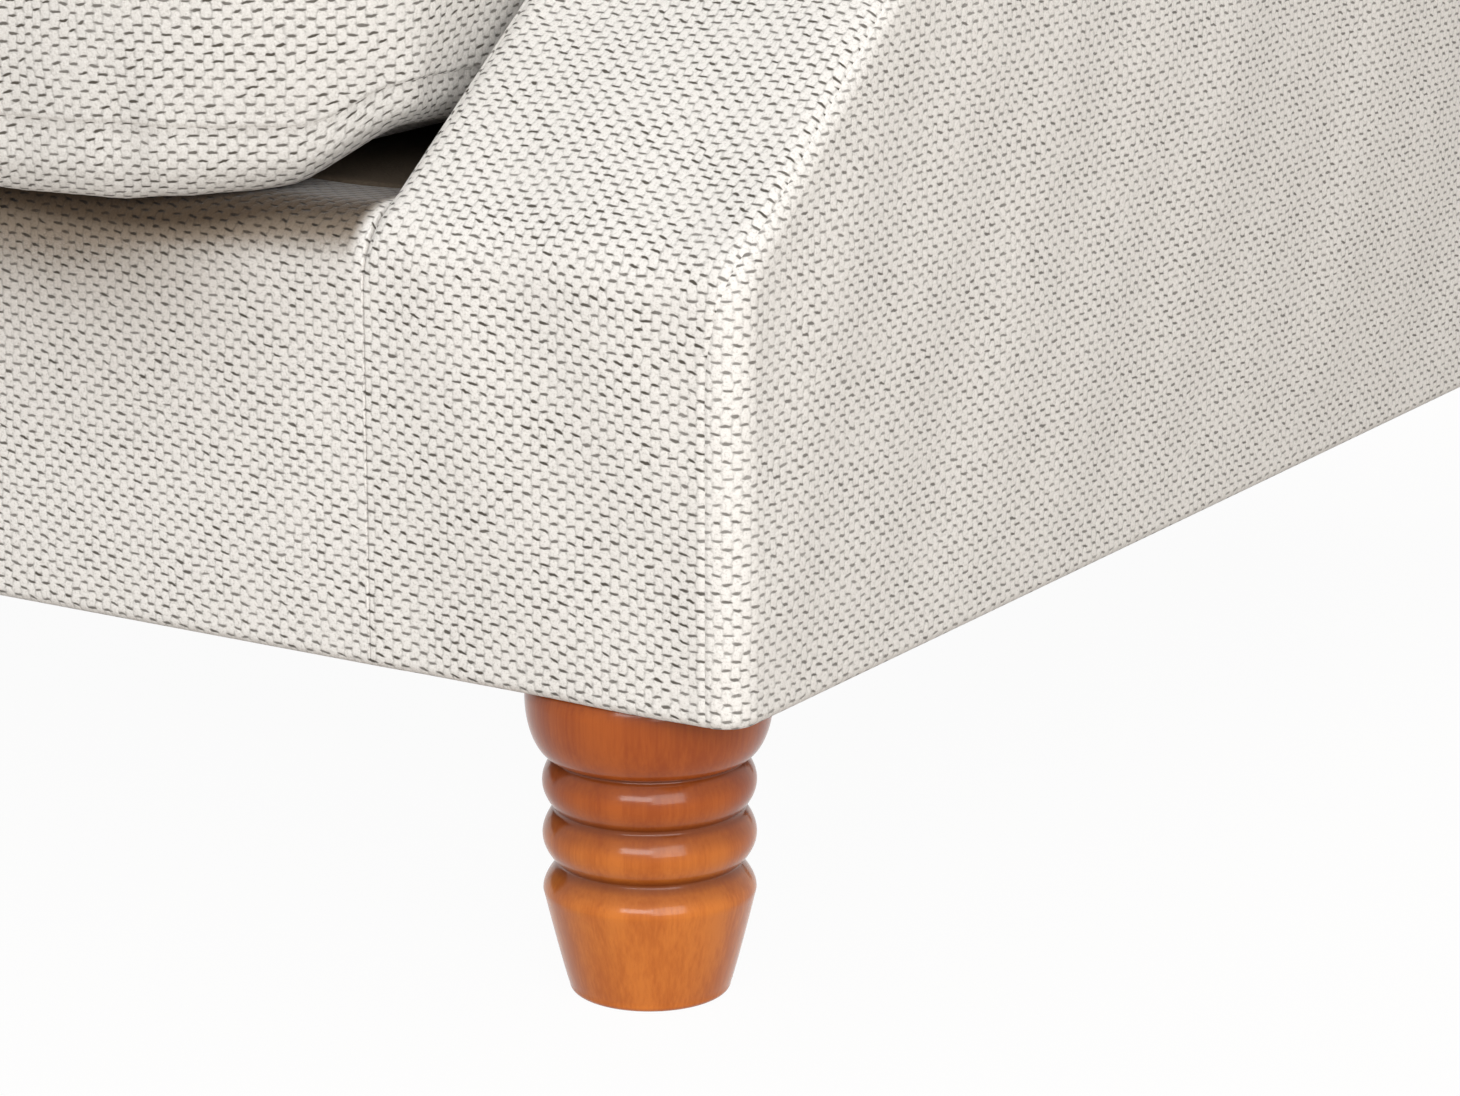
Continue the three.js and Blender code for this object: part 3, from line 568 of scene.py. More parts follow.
def build_weave_group(look):
    """Chenille seen from above: rows of short dark dashes, each row half a pitch along from the
    last, and a plump tuft inside each diamond of four dashes. With s = x / pitch + y / (2 steps)
    and t = x / pitch - y / (2 steps) the dashes lie where both are whole, and the tufts swell as
    the sine of s times the sine of t."""
    floats = "NodeSocketFloat"
    graph, given, out = new_group(
        "chenille_weave",
        [("Cloth", "NodeSocketVector", None), ("Cream", "NodeSocketColor", rgba(look.cream)),
         ("Shade", "NodeSocketColor", rgba(look.shade)), ("Dash Strength", floats, 0.95),
         ("Openness", floats, 1.0)],
        [("Color", "NodeSocketColor"), ("Height", floats), ("Dash", floats)])
    cloth = given.outputs["Cloth"]
    slow = graph.noise(cloth, 55.0, 1.0)
    slow_shift = graph.vector("SUBTRACT", slow.outputs["Color"], (0.5, 0.5, 0.5))
    quick = graph.noise(cloth, 330.0, 1.0)
    quick_shift = graph.vector("SUBTRACT", quick.outputs["Color"], (0.5, 0.5, 0.5))
    slow_wander = (3.0 * MM, 2.2 * MM, 0.0)
    quick_wander = (2.2 * MM, 1.3 * MM, 0.0)
    warp = graph.vector("ADD", graph.vector("MULTIPLY", slow_shift, slow_wander),
                        graph.vector("MULTIPLY", quick_shift, quick_wander))
    place = graph.add("ShaderNodeSeparateXYZ", {"Vector": graph.vector("ADD", cloth, warp)})
    along = graph.math("DIVIDE", place.outputs["X"], look.pitch)
    across = graph.math("DIVIDE", place.outputs["Y"], 2 * look.row_step)
    s, t = graph.math("ADD", along, across), graph.math("SUBTRACT", along, across)
    s_whole, t_whole = graph.math("ROUND", s), graph.math("ROUND", t)
    s_part, t_part = graph.math("SUBTRACT", s, s_whole), graph.math("SUBTRACT", t, t_whole)
    cell = graph.add("ShaderNodeCombineXYZ", {"X": s_whole, "Y": t_whole})
    draw = graph.add("ShaderNodeTexWhiteNoise", {"Vector": cell.outputs[0]},
                     noise_dimensions="2D")
    draws = graph.add("ShaderNodeSeparateColor", {"Color": draw.outputs["Color"]})
    x = graph.math("MULTIPLY", graph.math("ADD", s_part, t_part), look.pitch / 2)
    y = graph.math("MULTIPLY", graph.math("SUBTRACT", s_part, t_part), look.row_step)
    shift = 0.6 * MM
    x = graph.math("ADD", x, graph.math("MULTIPLY_ADD", draws.outputs["Red"], shift, -shift / 2))
    slant = graph.math("MULTIPLY_ADD", draws.outputs["Blue"], 0.3, -0.06)
    y = graph.math("MULTIPLY_ADD", x, slant, y)
    size = graph.math("MULTIPLY_ADD", draws.outputs["Green"], 0.38, 0.94)
    half_length = graph.math("MULTIPLY", size, look.dash_length / 2)
    along_dash = graph.math("ABSOLUTE", graph.math("DIVIDE", x, half_length))
    r = graph.math("SQRT", graph.math(
        "ADD", graph.math("POWER", along_dash, 2.6),
        graph.math("POWER", graph.math("ABSOLUTE", graph.math(
            "DIVIDE", y, look.dash_height / 2)), 2.0)))
    dash = graph.step(r, 1.45, 0.6)
    tails = []
    for lead, side, low, high in ((t_part, s_part, 0.36, 0.56), (s_part, t_part, 0.60, 0.42)):
        bend = graph.math("SINE", graph.math("MULTIPLY", lead, 2 * math.pi))
        off_tail = graph.math("ABSOLUTE", graph.math("MULTIPLY_ADD", bend, -0.15, side))
        tail = graph.math("MULTIPLY", graph.step(off_tail, 0.17, 0.02), graph.step(
            graph.math("ABSOLUTE", lead), 0.5, 0.16, 0.24, 0.62))
        tails.append(graph.math("MULTIPLY", tail, graph.step(
            quick.outputs["Fac"], low, high, 0.2, 1.0)))
    tail = graph.math("MAXIMUM", *tails)
    strength = graph.math("MULTIPLY_ADD", draws.outputs["Blue"], 0.2, 0.88)
    patchy = graph.step(slow.outputs["Fac"], 0.25, 0.7, 0.82, 1.06)
    dash = graph.math("MULTIPLY", graph.math("MAXIMUM", dash, tail),
                      graph.math("MULTIPLY", strength, patchy))
    swell = graph.math("ABSOLUTE", graph.math(
        "MULTIPLY", graph.math("SINE", graph.math("MULTIPLY", s, math.pi)),
        graph.math("SINE", graph.math("MULTIPLY", t, math.pi))))
    tuft = graph.math("POWER", swell, 0.55)
    fuzz = graph.noise(cloth, 2400.0, 2.0, 0.6)
    wool = graph.noise(cloth, 950.0, 2.0, 0.6)
    # The faint lines in the valleys between the tufts are partly the weave's own lines and partly
    # painted shade in the valleys.
    valley = graph.step(tuft, 0.36, 0.06)
    line = graph.math("MULTIPLY", valley, graph.step(wool.outputs["Fac"], 0.38, 0.68, 0.04, 0.26))
    depth = graph.math("MAXIMUM", dash, line)
    depth = graph.math("MULTIPLY", depth, given.outputs["Dash Strength"])
    lit_wool, shaded_wool = (0.98, 0.965, 0.945, 1.0), (0.50, 0.475, 0.445, 1.0)
    shaded_fuzz = (0.45, 0.42, 0.385, 1.0)
    cream = given.outputs["Cream"]
    cream = graph.mixed(graph.step(wool.outputs["Fac"], 0.5, 0.75, 0.0, 0.5), cream, lit_wool)
    cream = graph.mixed(graph.step(wool.outputs["Fac"], 0.5, 0.3, 0.0, 0.5), cream, shaded_wool)
    cream = graph.mixed(graph.step(fuzz.outputs["Fac"], 0.35, 0.7, 0.2, 0.0), cream, shaded_fuzz)
    color = graph.mixed(depth, cream, given.outputs["Shade"])
    rise = graph.math("MULTIPLY_ADD", fuzz.outputs["Fac"], 0.45,
                      graph.math("MULTIPLY", wool.outputs["Fac"], 0.6))
    rise = graph.math("MULTIPLY_ADD", tuft, 0.5, rise)
    height = graph.math("MULTIPLY_ADD", dash, -0.45, rise)
    graph.feed(out.inputs["Color"], color)
    graph.feed(out.inputs["Height"], graph.math("MULTIPLY", height, given.outputs["Openness"]))
    graph.feed(out.inputs["Dash"], dash)
    return graph.tree


def new_material(name):
    """A material with an empty Principled BSDF, and the graph that adds to it."""
    material = bpy.data.materials.new(name)
    material.use_nodes = True
    graph = Graph(material.node_tree)
    output = graph.add("ShaderNodeOutputMaterial")
    shader = graph.add("ShaderNodeBsdfPrincipled")
    graph.feed(output.inputs["Surface"], shader.outputs[0])
    return graph, shader


def place_group(graph, tree, values=None):
    """A group placed in a material, with values or links for its inputs."""
    node = graph.add("ShaderNodeGroup")
    node.node_tree = tree
    for name, value in (values or {}).items():
        graph.feed(node.inputs[name], value)
    return node


def painted_crevice_shade(graph, color, tint):
    """Painted shade: a colour multiplied by a shade tint where other pieces stand close in front,
    found by ambient occlusion, and once more where they nearly touch, and more strongly beside the
    arms. The creases beside the border and the part near the floor are spared."""
    reach, crowded, uncrowded = 0.12, 0.05, 0.18
    crease, past_crease = 1 * MM, 8 * MM
    floor_side, body_side = UNDERSIDE_Z + 0.02, UNDERSIDE_Z + 0.08
    openness = graph.add("ShaderNodeAmbientOcclusion", {"Distance": reach},
                         samples=24).outputs["AO"]
    place = graph.add("ShaderNodeTexCoord").outputs["Object"]
    parts = graph.add("ShaderNodeSeparateXYZ", {"Vector": place})
    from_crease = graph.math("SUBTRACT", INNER_X, graph.math("ABSOLUTE", parts.outputs["X"]))
    crowding = graph.step(from_crease, crowded, uncrowded, 1.9, 1.0)
    hidden = graph.math("MULTIPLY", graph.math("SUBTRACT", 1.0, openness), crowding)
    nearness = graph.math("SUBTRACT", 1.0, hidden)
    allowed = graph.math("MULTIPLY", graph.step(from_crease, crease, past_crease),
                         graph.step(parts.outputs["Z"], floor_side, body_side))
    for far, near in ((0.99, 0.89), (0.92, 0.50)):
        share = graph.math("MULTIPLY", allowed, graph.step(nearness, far, near))
        color = graph.mixed(share, color, tint, "MULTIPLY")
    return color


def build_chenille(name, weave, values=None, crevice_shade=None):
    """Chenille in the cloth coordinates of its piece. A crevice shade colour paints shade into it
    where other pieces stand close in front of it."""
    graph, shader = new_material(name)
    cloth = graph.add("ShaderNodeUVMap", uv_map="cloth").outputs[0]
    pattern = place_group(graph, weave, {"Cloth": cloth, **(values or {})})
    bump = graph.add("ShaderNodeBump", {"Height": pattern.outputs["Height"],
                                        "Distance": 0.5 * MM, "Strength": 0.7})
    color = pattern.outputs["Color"]
    if crevice_shade:
        # Painted shade under the pieces that stand close in front
        color = painted_crevice_shade(graph, color, rgba(crevice_shade))
    graph.feed(shader.inputs["Base Color"], color)
    graph.feed(shader.inputs["Normal"], bump.outputs[0])
    constants = {"Roughness": 0.92, "Specular IOR Level": 0.15, "Sheen Weight": 0.25,
                 "Sheen Roughness": 0.45}
    for label, value in constants.items():
        shader.inputs[label].default_value = value


def build_grain_group():
    """Straight grain along Z: fine streaks and broader bands of stretched noise."""
    floats = "NodeSocketFloat"
    graph, given, out = new_group(
        "wood_grain",
        [("Place", "NodeSocketVector", None), ("Light", "NodeSocketColor", (0.6, 0.2, 0.05, 1.0)),
         ("Dark", "NodeSocketColor", (0.4, 0.1, 0.02, 1.0)), ("Stretch", floats, 0.035)],
        [("Color", "NodeSocketColor"), ("Height", floats)])
    parts = graph.add("ShaderNodeSeparateXYZ", {"Vector": given.outputs["Place"]})
    low = graph.math("MULTIPLY", parts.outputs["Z"], given.outputs["Stretch"])
    place = graph.add("ShaderNodeCombineXYZ", {
        "X": parts.outputs["X"], "Y": parts.outputs["Y"], "Z": low}).outputs[0]
    broad = graph.noise(place, 70.0, 3.0, 0.55)
    fine = graph.noise(place, 750.0, 3.0, 0.6)
    pores = graph.noise(place, 2100.0, 2.0, 0.6)
    share = graph.math("MULTIPLY_ADD", broad.outputs["Fac"], 0.75,
                       graph.math("MULTIPLY", fine.outputs["Fac"], 0.4))
    color = graph.mixed(graph.step(share, 0.42, 0.75), given.outputs["Light"],
                        given.outputs["Dark"])
    pore = graph.step(pores.outputs["Fac"], 0.62, 0.74, 0.0, 0.3)
    color = graph.mixed(pore, color, given.outputs["Dark"])
    graph.feed(out.inputs["Color"], color)
    graph.feed(out.inputs["Height"], fine.outputs["Fac"])
    return graph.tree


def build_foot_wood(grain, look):
    """Cherry-stained turned wood under clear lacquer, darker where stain gathers in the grooves,
    with painted shade on the upper slopes of the beads and from the top of the cup upwards, under
    the body."""
    graph, shader = new_material("stained_wood_turned")
    place = graph.add("ShaderNodeTexCoord").outputs["Object"]
    pattern = place_group(graph, grain, {"Place": place, "Light": rgba(look.light),
                                         "Dark": rgba(look.dark)})
    groove = graph.add("ShaderNodeAttribute", attribute_name="groove").outputs["Fac"]
    height = graph.add("ShaderNodeSeparateXYZ", {"Vector": place}).outputs["Z"]
    cup_top, bead_height = 0.045, 0.085
    under_body_shade, stain_and_shade_dark = (0.64, 0.47, 0.32, 1.0), (0.13, 0.026, 0.004, 1.0)
    # Painted shade: darker from the top of the cup upwards, where the body above shades the foot
    color = graph.mixed(graph.step(height, cup_top, bead_height), pattern.outputs["Color"],
                        under_body_shade, "MULTIPLY")
    # Stain gathered in the grooves, and painted shade on the upper slopes of the beads
    color = graph.mixed(graph.math("MULTIPLY", groove, 0.85), color, stain_and_shade_dark)
    bump = graph.add("ShaderNodeBump", {"Height": pattern.outputs["Height"],
                                        "Distance": 0.06 * MM, "Strength": 0.5})
    graph.feed(shader.inputs["Base Color"], color)
    graph.feed(shader.inputs["Normal"], bump.outputs[0])
    constants = {"Roughness": 0.42, "Specular IOR Level": 0.1, "Coat Weight": 0.75,
                 "Coat Roughness": 0.14, "Coat IOR": 1.38}
    for label, value in constants.items():
        shader.inputs[label].default_value = value


def build_plain(name, first, second, scale, constants, bump=0.2 * MM):
    """A finish of two colours that mix by noise, on object coordinates."""
    graph, shader = new_material(name)
    place = graph.add("ShaderNodeTexCoord").outputs["Object"]
    cloud = graph.noise(place, scale, 4.0, 0.6)
    share = graph.step(cloud.outputs["Fac"], 0.3, 0.7)
    height = graph.add("ShaderNodeBump", {"Height": cloud.outputs["Fac"], "Distance": bump})
    graph.feed(shader.inputs["Base Color"], graph.mixed(share, rgba(first), rgba(second)))
    graph.feed(shader.inputs["Normal"], height.outputs[0])
    for label, value in constants.items():
        shader.inputs[label].default_value = value


class SOFA_OT_finishes(bpy.types.Operator):
    """Build the cloth, wood and metal finishes"""

    bl_idname = "sofa.finishes"
    bl_label = "Finishes"

    def execute(self, context):
        settings = context.scene.roll_arm_sofa
        weave = build_weave_group(settings.weave)
        # The cushions take a darker copy of the cream, a painted shade, and the border a lighter
        # copy, a painted light. The crevice colour is painted shade under the cushions.
        shaded_cushion_cream, lit_border_cream = (0.765, 0.746, 0.718, 1.0), (0.90, 0.878, 0.85, 1.0)
        crevice_shade = (0.29, 0.24, 0.19)
        build_chenille("chenille_cloth", weave)
        build_chenille("chenille_cushion", weave, {"Cream": shaded_cushion_cream})
        build_chenille("chenille_border", weave, {"Cream": lit_border_cream, "Dash Strength": 0.9},
                       crevice_shade)
        build_chenille("chenille_facing", weave, {"Dash Strength": 0.96})
        build_chenille("chenille_side", weave, {"Dash Strength": 0.8})
        grain = build_grain_group()
        build_foot_wood(grain, settings.wood)
        metal_bump = 0.05 * MM
        build_plain("platform_cloth", (0.11, 0.085, 0.062), (0.085, 0.066, 0.048), 900.0,
                    {"Roughness": 0.95, "Specular IOR Level": 0.1})
        build_plain("black_cloth", (0.020, 0.020, 0.022), (0.035, 0.035, 0.037), 1400.0,
                    {"Roughness": 0.92, "Sheen Weight": 0.15})
        build_plain("strap_weave", (0.035, 0.035, 0.04), (0.06, 0.06, 0.065), 1100.0,
                    {"Roughness": 0.85})
        build_plain("spring_steel_wire", (0.38, 0.39, 0.40), (0.50, 0.51, 0.52), 300.0,
                    {"Roughness": 0.35, "Metallic": 1.0}, metal_bump)
        build_plain("zinc_plating", (0.55, 0.56, 0.57), (0.68, 0.68, 0.66), 250.0,
                    {"Roughness": 0.32, "Metallic": 1.0}, metal_bump)
        graph, shader = new_material("frame_timber")
        place = graph.add("ShaderNodeTexCoord").outputs["Object"]
        turned = graph.add("ShaderNodeMapping", {"Vector": place,
                                                 "Rotation": (0.0, math.radians(90), 0.0)})
        timber_light, timber_dark = (0.66, 0.50, 0.31, 1.0), (0.50, 0.34, 0.18, 1.0)
        pattern = place_group(graph, grain, {
            "Place": turned.outputs[0], "Light": timber_light, "Dark": timber_dark})
        graph.feed(shader.inputs["Base Color"], pattern.outputs["Color"])
        shader.inputs["Roughness"].default_value = 0.62
        return {"FINISHED"}


class SOFA_OT_arm_facings(bpy.types.Operator):
    """Build the front panels of the arms"""

    bl_idname = "sofa.arm_facings"
    bl_label = "Arm Facings"

    def execute(self, context):
        # Rows lie at distances up the front line and go from the inner seam to the outer one.
        # Points sink by a quarter circle at the edges and by the dip of the seams, and rise in
        # slow waves between them.
        arm = arm_shape()
        sizes = arm.sizes
        total = arm.length_at(ARM_TOP_Z)
        lengths = (total * spread(200, 0.86))[:, None]
        place, into = on_line(arm.front, lengths)
        (back, up), (into_y, into_z) = np.moveaxis(place, -1, 0), np.moveaxis(into, -1, 0)
        radius = arm.outer_radius(up)
        seam = arm.outer_seam(up)
        turned = np.clip(seam / radius, 0, None)
        outer_inset = np.where(seam < 0, radius - seam, radius * (1 - np.sin(turned)))
        closing = np.sqrt(np.clip((ARM_TOP_Z - up) / arm.roll_radius, 0, 1))
        inner = arm.inner_x(up) + arm.inner_seam_inset(up) * np.minimum(closing * 4, 1)
        outer = arm.outer_x(up) - outer_inset * np.minimum(closing * 4, 1)
        x = blend(inner, outer, spread(84, 0.93))
        flat = np.stack([x, np.broadcast_to(lengths, x.shape)], -1)
        outer_edge = np.stack([arm.outer_line[:, 0], arm.length_at(arm.outer_line[:, 1])], -1)
        inner_edge = np.stack([arm.inner_line[:, 0], arm.length_at(arm.inner_line[:, 1])], -1)
        depth = np.maximum(rolled(distance_to_line(flat, outer_edge), radius),
                           rolled(distance_to_line(flat, inner_edge), arm.inner_radius(up)))
        depth = np.maximum(depth, rolled(lengths, sizes.hem_radius))
        seam_top, seam_fade, edge_fade = 0.985 * ARM_TOP_Z, 0.01, 0.02
        depth = depth + seam_dip(outer - x) * ease(0, seam_fade, seam_top - up)
        depth = depth + 0.6 * seam_dip(x - inner) * ease(DECK_Z, DECK_Z + edge_fade, up)
        depth = depth - unevenness(x, lengths, 11) * ease(0, edge_fade, outer - x) * ease(
            0, edge_fade, x - inner)
        for side, sign in SIDES.items():
            face = placed(sign * x, back + into_y * depth, up + into_z * depth)
            rear = placed(sign * x, back + into_y * COVER_THICKNESS,
                          up + into_z * COVER_THICKNESS)
            rear[..., 2] = np.maximum(rear[..., 2], UNDERSIDE_Z)
            cloth = laid_cloth(face * (sign, 1, 1), flat)
            piece = surface(f"{side}_arm_facing_cover", shell(face, rear, cloth),
                            "chenille_facing")
            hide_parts(f"{side}_arm_facing")
        return {"FINISHED"}


class SOFA_OT_outside_arms(bpy.types.Operator):
    """Build the outer panels of the arms, which wrap the front corners"""

    bl_idname = "sofa.outside_arms"
    bl_label = "Outside Arms"

    def execute(self, context):
        # Rows start at the seam, go round the corner's quarter circle, which stands across the
        # front line, and run straight back. Points sink against their outward direction.
        arm = arm_shape()
        lengths = (arm.length_at(arm.join_z) * spread(120, 0.8))[:, None]
        place, into = on_line(arm.front, lengths)
        back, up = place[..., 0], place[..., 1]
        radius, seam = arm.outer_radius(up), arm.outer_seam(up)
        quarter = radius * math.pi / 2
        around = blend(seam, quarter, spread(30, 0.7))
        angle = np.clip(around, 0, None) / radius
        x = OUTER_X - radius + radius * np.sin(angle) + np.minimum(around, 0)
        depth = radius * (1 - np.cos(angle))
        wrap_back = back + into[..., 0] * depth
        wrap_up = up + into[..., 1] * depth
        cloth_x = wrap_back[:, -1:] - into[..., 0] * (quarter - around)
        cloth_y = wrap_up[:, -1:] - into[..., 1] * (quarter - around)
        edge_back, edge_up = wrap_back[:, -1:], wrap_up[:, -1:]
        edge_up = np.maximum(edge_up, UNDERSIDE_Z)
        shares = spread(150, 0.85)[1:]
        rear = rear_face(edge_up) - REAR_PANEL_THICKNESS - REAR_COVER_GAP
        side_back = blend(edge_back, rear, shares)
        side_up = np.broadcast_to(edge_up, side_back.shape)
        x = np.concatenate([x, np.full_like(side_back, OUTER_X)], 1)
        back = np.concatenate([wrap_back, side_back], 1)
        up = np.concatenate([wrap_up, side_up], 1)
        cloth = np.stack([np.concatenate([cloth_x, side_back], 1),
                          np.concatenate([cloth_y, side_up], 1)], -1)
        turned = np.concatenate([angle, np.full_like(side_back, math.pi / 2)], 1)
        outward = np.stack([np.sin(turned), -np.cos(turned) * into[..., 0],
                            -np.cos(turned) * into[..., 1]], -1)
        from_seam = np.concatenate([around - seam, side_back - edge_back + quarter - seam], 1)
        sink = rolled(up - UNDERSIDE_Z, arm.sizes.hem_radius) + seam_dip(from_seam)
        sink = np.maximum(sink, rolled(rear - back, SEAM_STRIP))
        wave_size, wave_height = 0.13, 0.9 * MM
        sink = sink - unevenness(back, up, 23, wave_size, wave_height) * ease(
            SEAM_STRIP, WAVE_FADE, from_seam) * ease(0, WAVE_FADE, up - UNDERSIDE_Z)
        points = placed(x, back, up)
        face = points - outward * sink[..., None]
        inner = points - outward * COVER_THICKNESS
        inner[..., 2] = np.maximum(inner[..., 2], UNDERSIDE_Z)
        for side, sign in SIDES.items():
            turn = np.array([sign, 1, 1])
            piece = surface(f"{side}_outside_arm_cover", shell(face * turn, inner * turn, cloth),
                            "chenille_side")
            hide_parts(f"{side}_outside_arm")
        return {"FINISHED"}


class SOFA_OT_inside_arms(bpy.types.Operator):
    """Build the covers that go up the inside of each arm and round its roll"""

    bl_idname = "sofa.inside_arms"
    bl_label = "Inside Arms"

    def execute(self, context):
        # Rows lie at distances up the leaning inside and round the roll. Each starts half round
        # the quarter circle of the front corner, goes on round it and runs straight back.
        arm = arm_shape()
        bottom = DECK_Z - CREASE_DEPTH
        angles = np.linspace(math.pi - arm.lean, arm.join_angle, 120)
        section = np.concatenate([[(INNER_X, bottom), (INNER_X, DECK_Z)], arm.on_roll(angles)])
        total = lengths_along(section)[-1]
        lengths = (total * spread(220, 0.6))[:, None]
        base, into = on_line(section, lengths)
        x, up = base[..., 0], base[..., 1]
        before_roll = up < arm.roll_z
        before_roll &= x < arm.roll_x
        tilt = np.where(before_roll & (up > DECK_Z), math.tan(arm.lean), 0.0)
        place, front_into = on_line(arm.front, arm.length_at(up))
        back = place[..., 0]
        radius = np.where(before_roll, arm.inner_radius(up), arm.sizes.inner_corner_radius)
        start = radius * math.pi / 4
        quarter = radius * math.pi / 2
        around = blend(start, quarter, spread(22, 0.7))
        angle = around / radius
        inset = radius * (1 - np.sin(angle))
        depth = radius * (1 - np.cos(angle))
        wrap_back = back + front_into[..., 0] * depth
        shift = front_into[..., 1] * depth
        wrap_up = up + shift + into[..., 1] * inset
        wrap_x = x + tilt * shift + into[..., 0] * inset
        shares = spread(140, 0.85)[1:]
        rear = rear_face(up) - REAR_PANEL_THICKNESS - REAR_COVER_GAP
        edge_back = wrap_back[:, -1:]
        side_back = blend(edge_back, rear, shares)
        side_up = np.broadcast_to(wrap_up[:, -1:], side_back.shape)
        side_x = np.broadcast_to(wrap_x[:, -1:], side_back.shape)
        points = placed(np.concatenate([wrap_x, side_x], 1),
                        np.concatenate([wrap_back, side_back], 1),
                        np.concatenate([wrap_up, side_up], 1))
        from_seam = np.concatenate([around - start, side_back - edge_back + quarter - start], 1)
        turned = np.concatenate([angle, np.full_like(side_back, math.pi / 2)], 1)
        outward = np.stack([
            -into[..., 0] * np.sin(turned), -front_into[..., 0] * np.cos(turned),
            -into[..., 1] * np.sin(turned) - front_into[..., 1] * np.cos(turned)], -1)
        outward = unit(outward)
        sink = 0.6 * seam_dip(from_seam)
        wave_size, wave_height = 0.12, 0.9 * MM
        sink = sink - unevenness(from_seam, lengths, 31, wave_size, wave_height) * ease(
            SEAM_STRIP, WAVE_FADE, from_seam)
        face = points - outward * sink[..., None]
        inner = points - outward * COVER_THICKNESS
        cloth = np.stack([from_seam, np.broadcast_to(lengths, from_seam.shape)], -1)
        for side, sign in SIDES.items():
            turn = np.array([sign, 1, 1])
            piece = surface(f"{side}_inside_arm_cover", shell(face * turn, inner * turn, cloth),
                            "chenille_cloth")
            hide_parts(f"{side}_inside_arm")
        return {"FINISHED"}


class SOFA_OT_inside_back(bpy.types.Operator):
    """Build the padded inside back, which goes over the top rail and a little way down the rear"""

    bl_idname = "sofa.inside_back"
    bl_label = "Inside Back"

    def execute(self, context):
        # Rows lie at distances up the front, over the top and down the rear, and go from end to
        # end. Points sink by a quarter circle at the ends and crown between them, and the top
        # corners drop by a quarter circle.
        sizes = context.scene.roll_arm_sofa.back
        arm = arm_shape()
        above_deck = 0.4 * MM
        bottom = DECK_Z + above_deck
        line = smooth_line(
            [(inside_back(bottom), bottom), (inside_back(BACK_TOP_Z), BACK_TOP_Z),
             (rear_face(BACK_TOP_Z), BACK_TOP_Z), (rear_face(bottom), bottom)],
            [sizes.top_radius] * 2)
        rows = 241
        lengths = (lengths_along(line)[-1] * np.linspace(0, 1, rows))[:, None]
        place, into = on_line(line, lengths)
        (back, up), (into_y, into_z) = np.moveaxis(place, -1, 0), np.moveaxis(into, -1, 0)
        half = np.where(up < ARM_TOP_Z, np.minimum(arm.inner_x(up) + sizes.tuck,
                                                   BACK_HALF_WIDTH), BACK_HALF_WIDTH)
        share = 2 * spread(281, 0.94) - 1
        x = half * share
        from_end = half - np.abs(x)
        at_rear = ease(0, 1, -into_y)
        rear_radius, under_panel = 0.007, 0.006
        panel_edge, panel_end = BACK_PANEL_Z + 0.007, BACK_PANEL_Z - 0.001
        depth = rolled(from_end, blend(sizes.end_radius, rear_radius, at_rear))
        depth = depth + under_panel * at_rear * ease(panel_edge, panel_end, up)
        side_fade, low_fade = 0.3, 0.25
        high_fade_start, high_fade_end = BACK_TOP_Z - 0.16, BACK_TOP_Z + 0.03
        depth = depth - sizes.padding * (1 - at_rear) * ease(0, side_fade, from_end) * ease(
            0, low_fade, up - bottom) * ease(high_fade_end, high_fade_start, up)
        wave_size, wave_height = 0.24, 1.0 * MM
        depth = depth - unevenness(x, lengths, 53, wave_size, wave_height) * ease(
            0, WAVE_FADE, from_end)
        over = np.clip(np.abs(x) - BACK_HALF_WIDTH + sizes.corner_radius, 0, sizes.corner_radius)
        drop = sizes.corner_radius - np.sqrt(sizes.corner_radius**2 - over**2)
        low, high, level_end = BACK_TOP_Z - 2.2 * sizes.corner_radius, BACK_TOP_Z - 0.01, 0.02
        height = up + into_z * depth * (1 - ease(level_end, 0, from_end))
        height = height - drop * ease(low, high, up)
        face = placed(x, back + into_y * depth, height)
        cloth = laid_cloth(face, np.stack(np.broadcast_arrays(x, lengths), -1))
        patches = [(face, cloth), (face[[0, -1]], cloth[[0, -1]])]
        middle = rows // 2
        across = spread(13, 0.8)[:, None]
        swell, swell_start = 0.004, 0.06
        puff = swell * np.sin(np.pi * across)
        for end, sign in ((0, -1), (-1, 1)):
            near, far = face[:middle + 1, end], face[:middle - 1:-1, end]
            cap = near + (far - near) * across[..., None]
            gap = np.linalg.norm(far - near, axis=-1)
            cap[..., 0] += sign * puff * ease(0, swell_start, gap)
            patches.append((cap, cap[..., 1:]))
        piece = surface("padded_inside_back", patches, "chenille_cloth")
        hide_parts("inside_back")
        return {"FINISHED"}


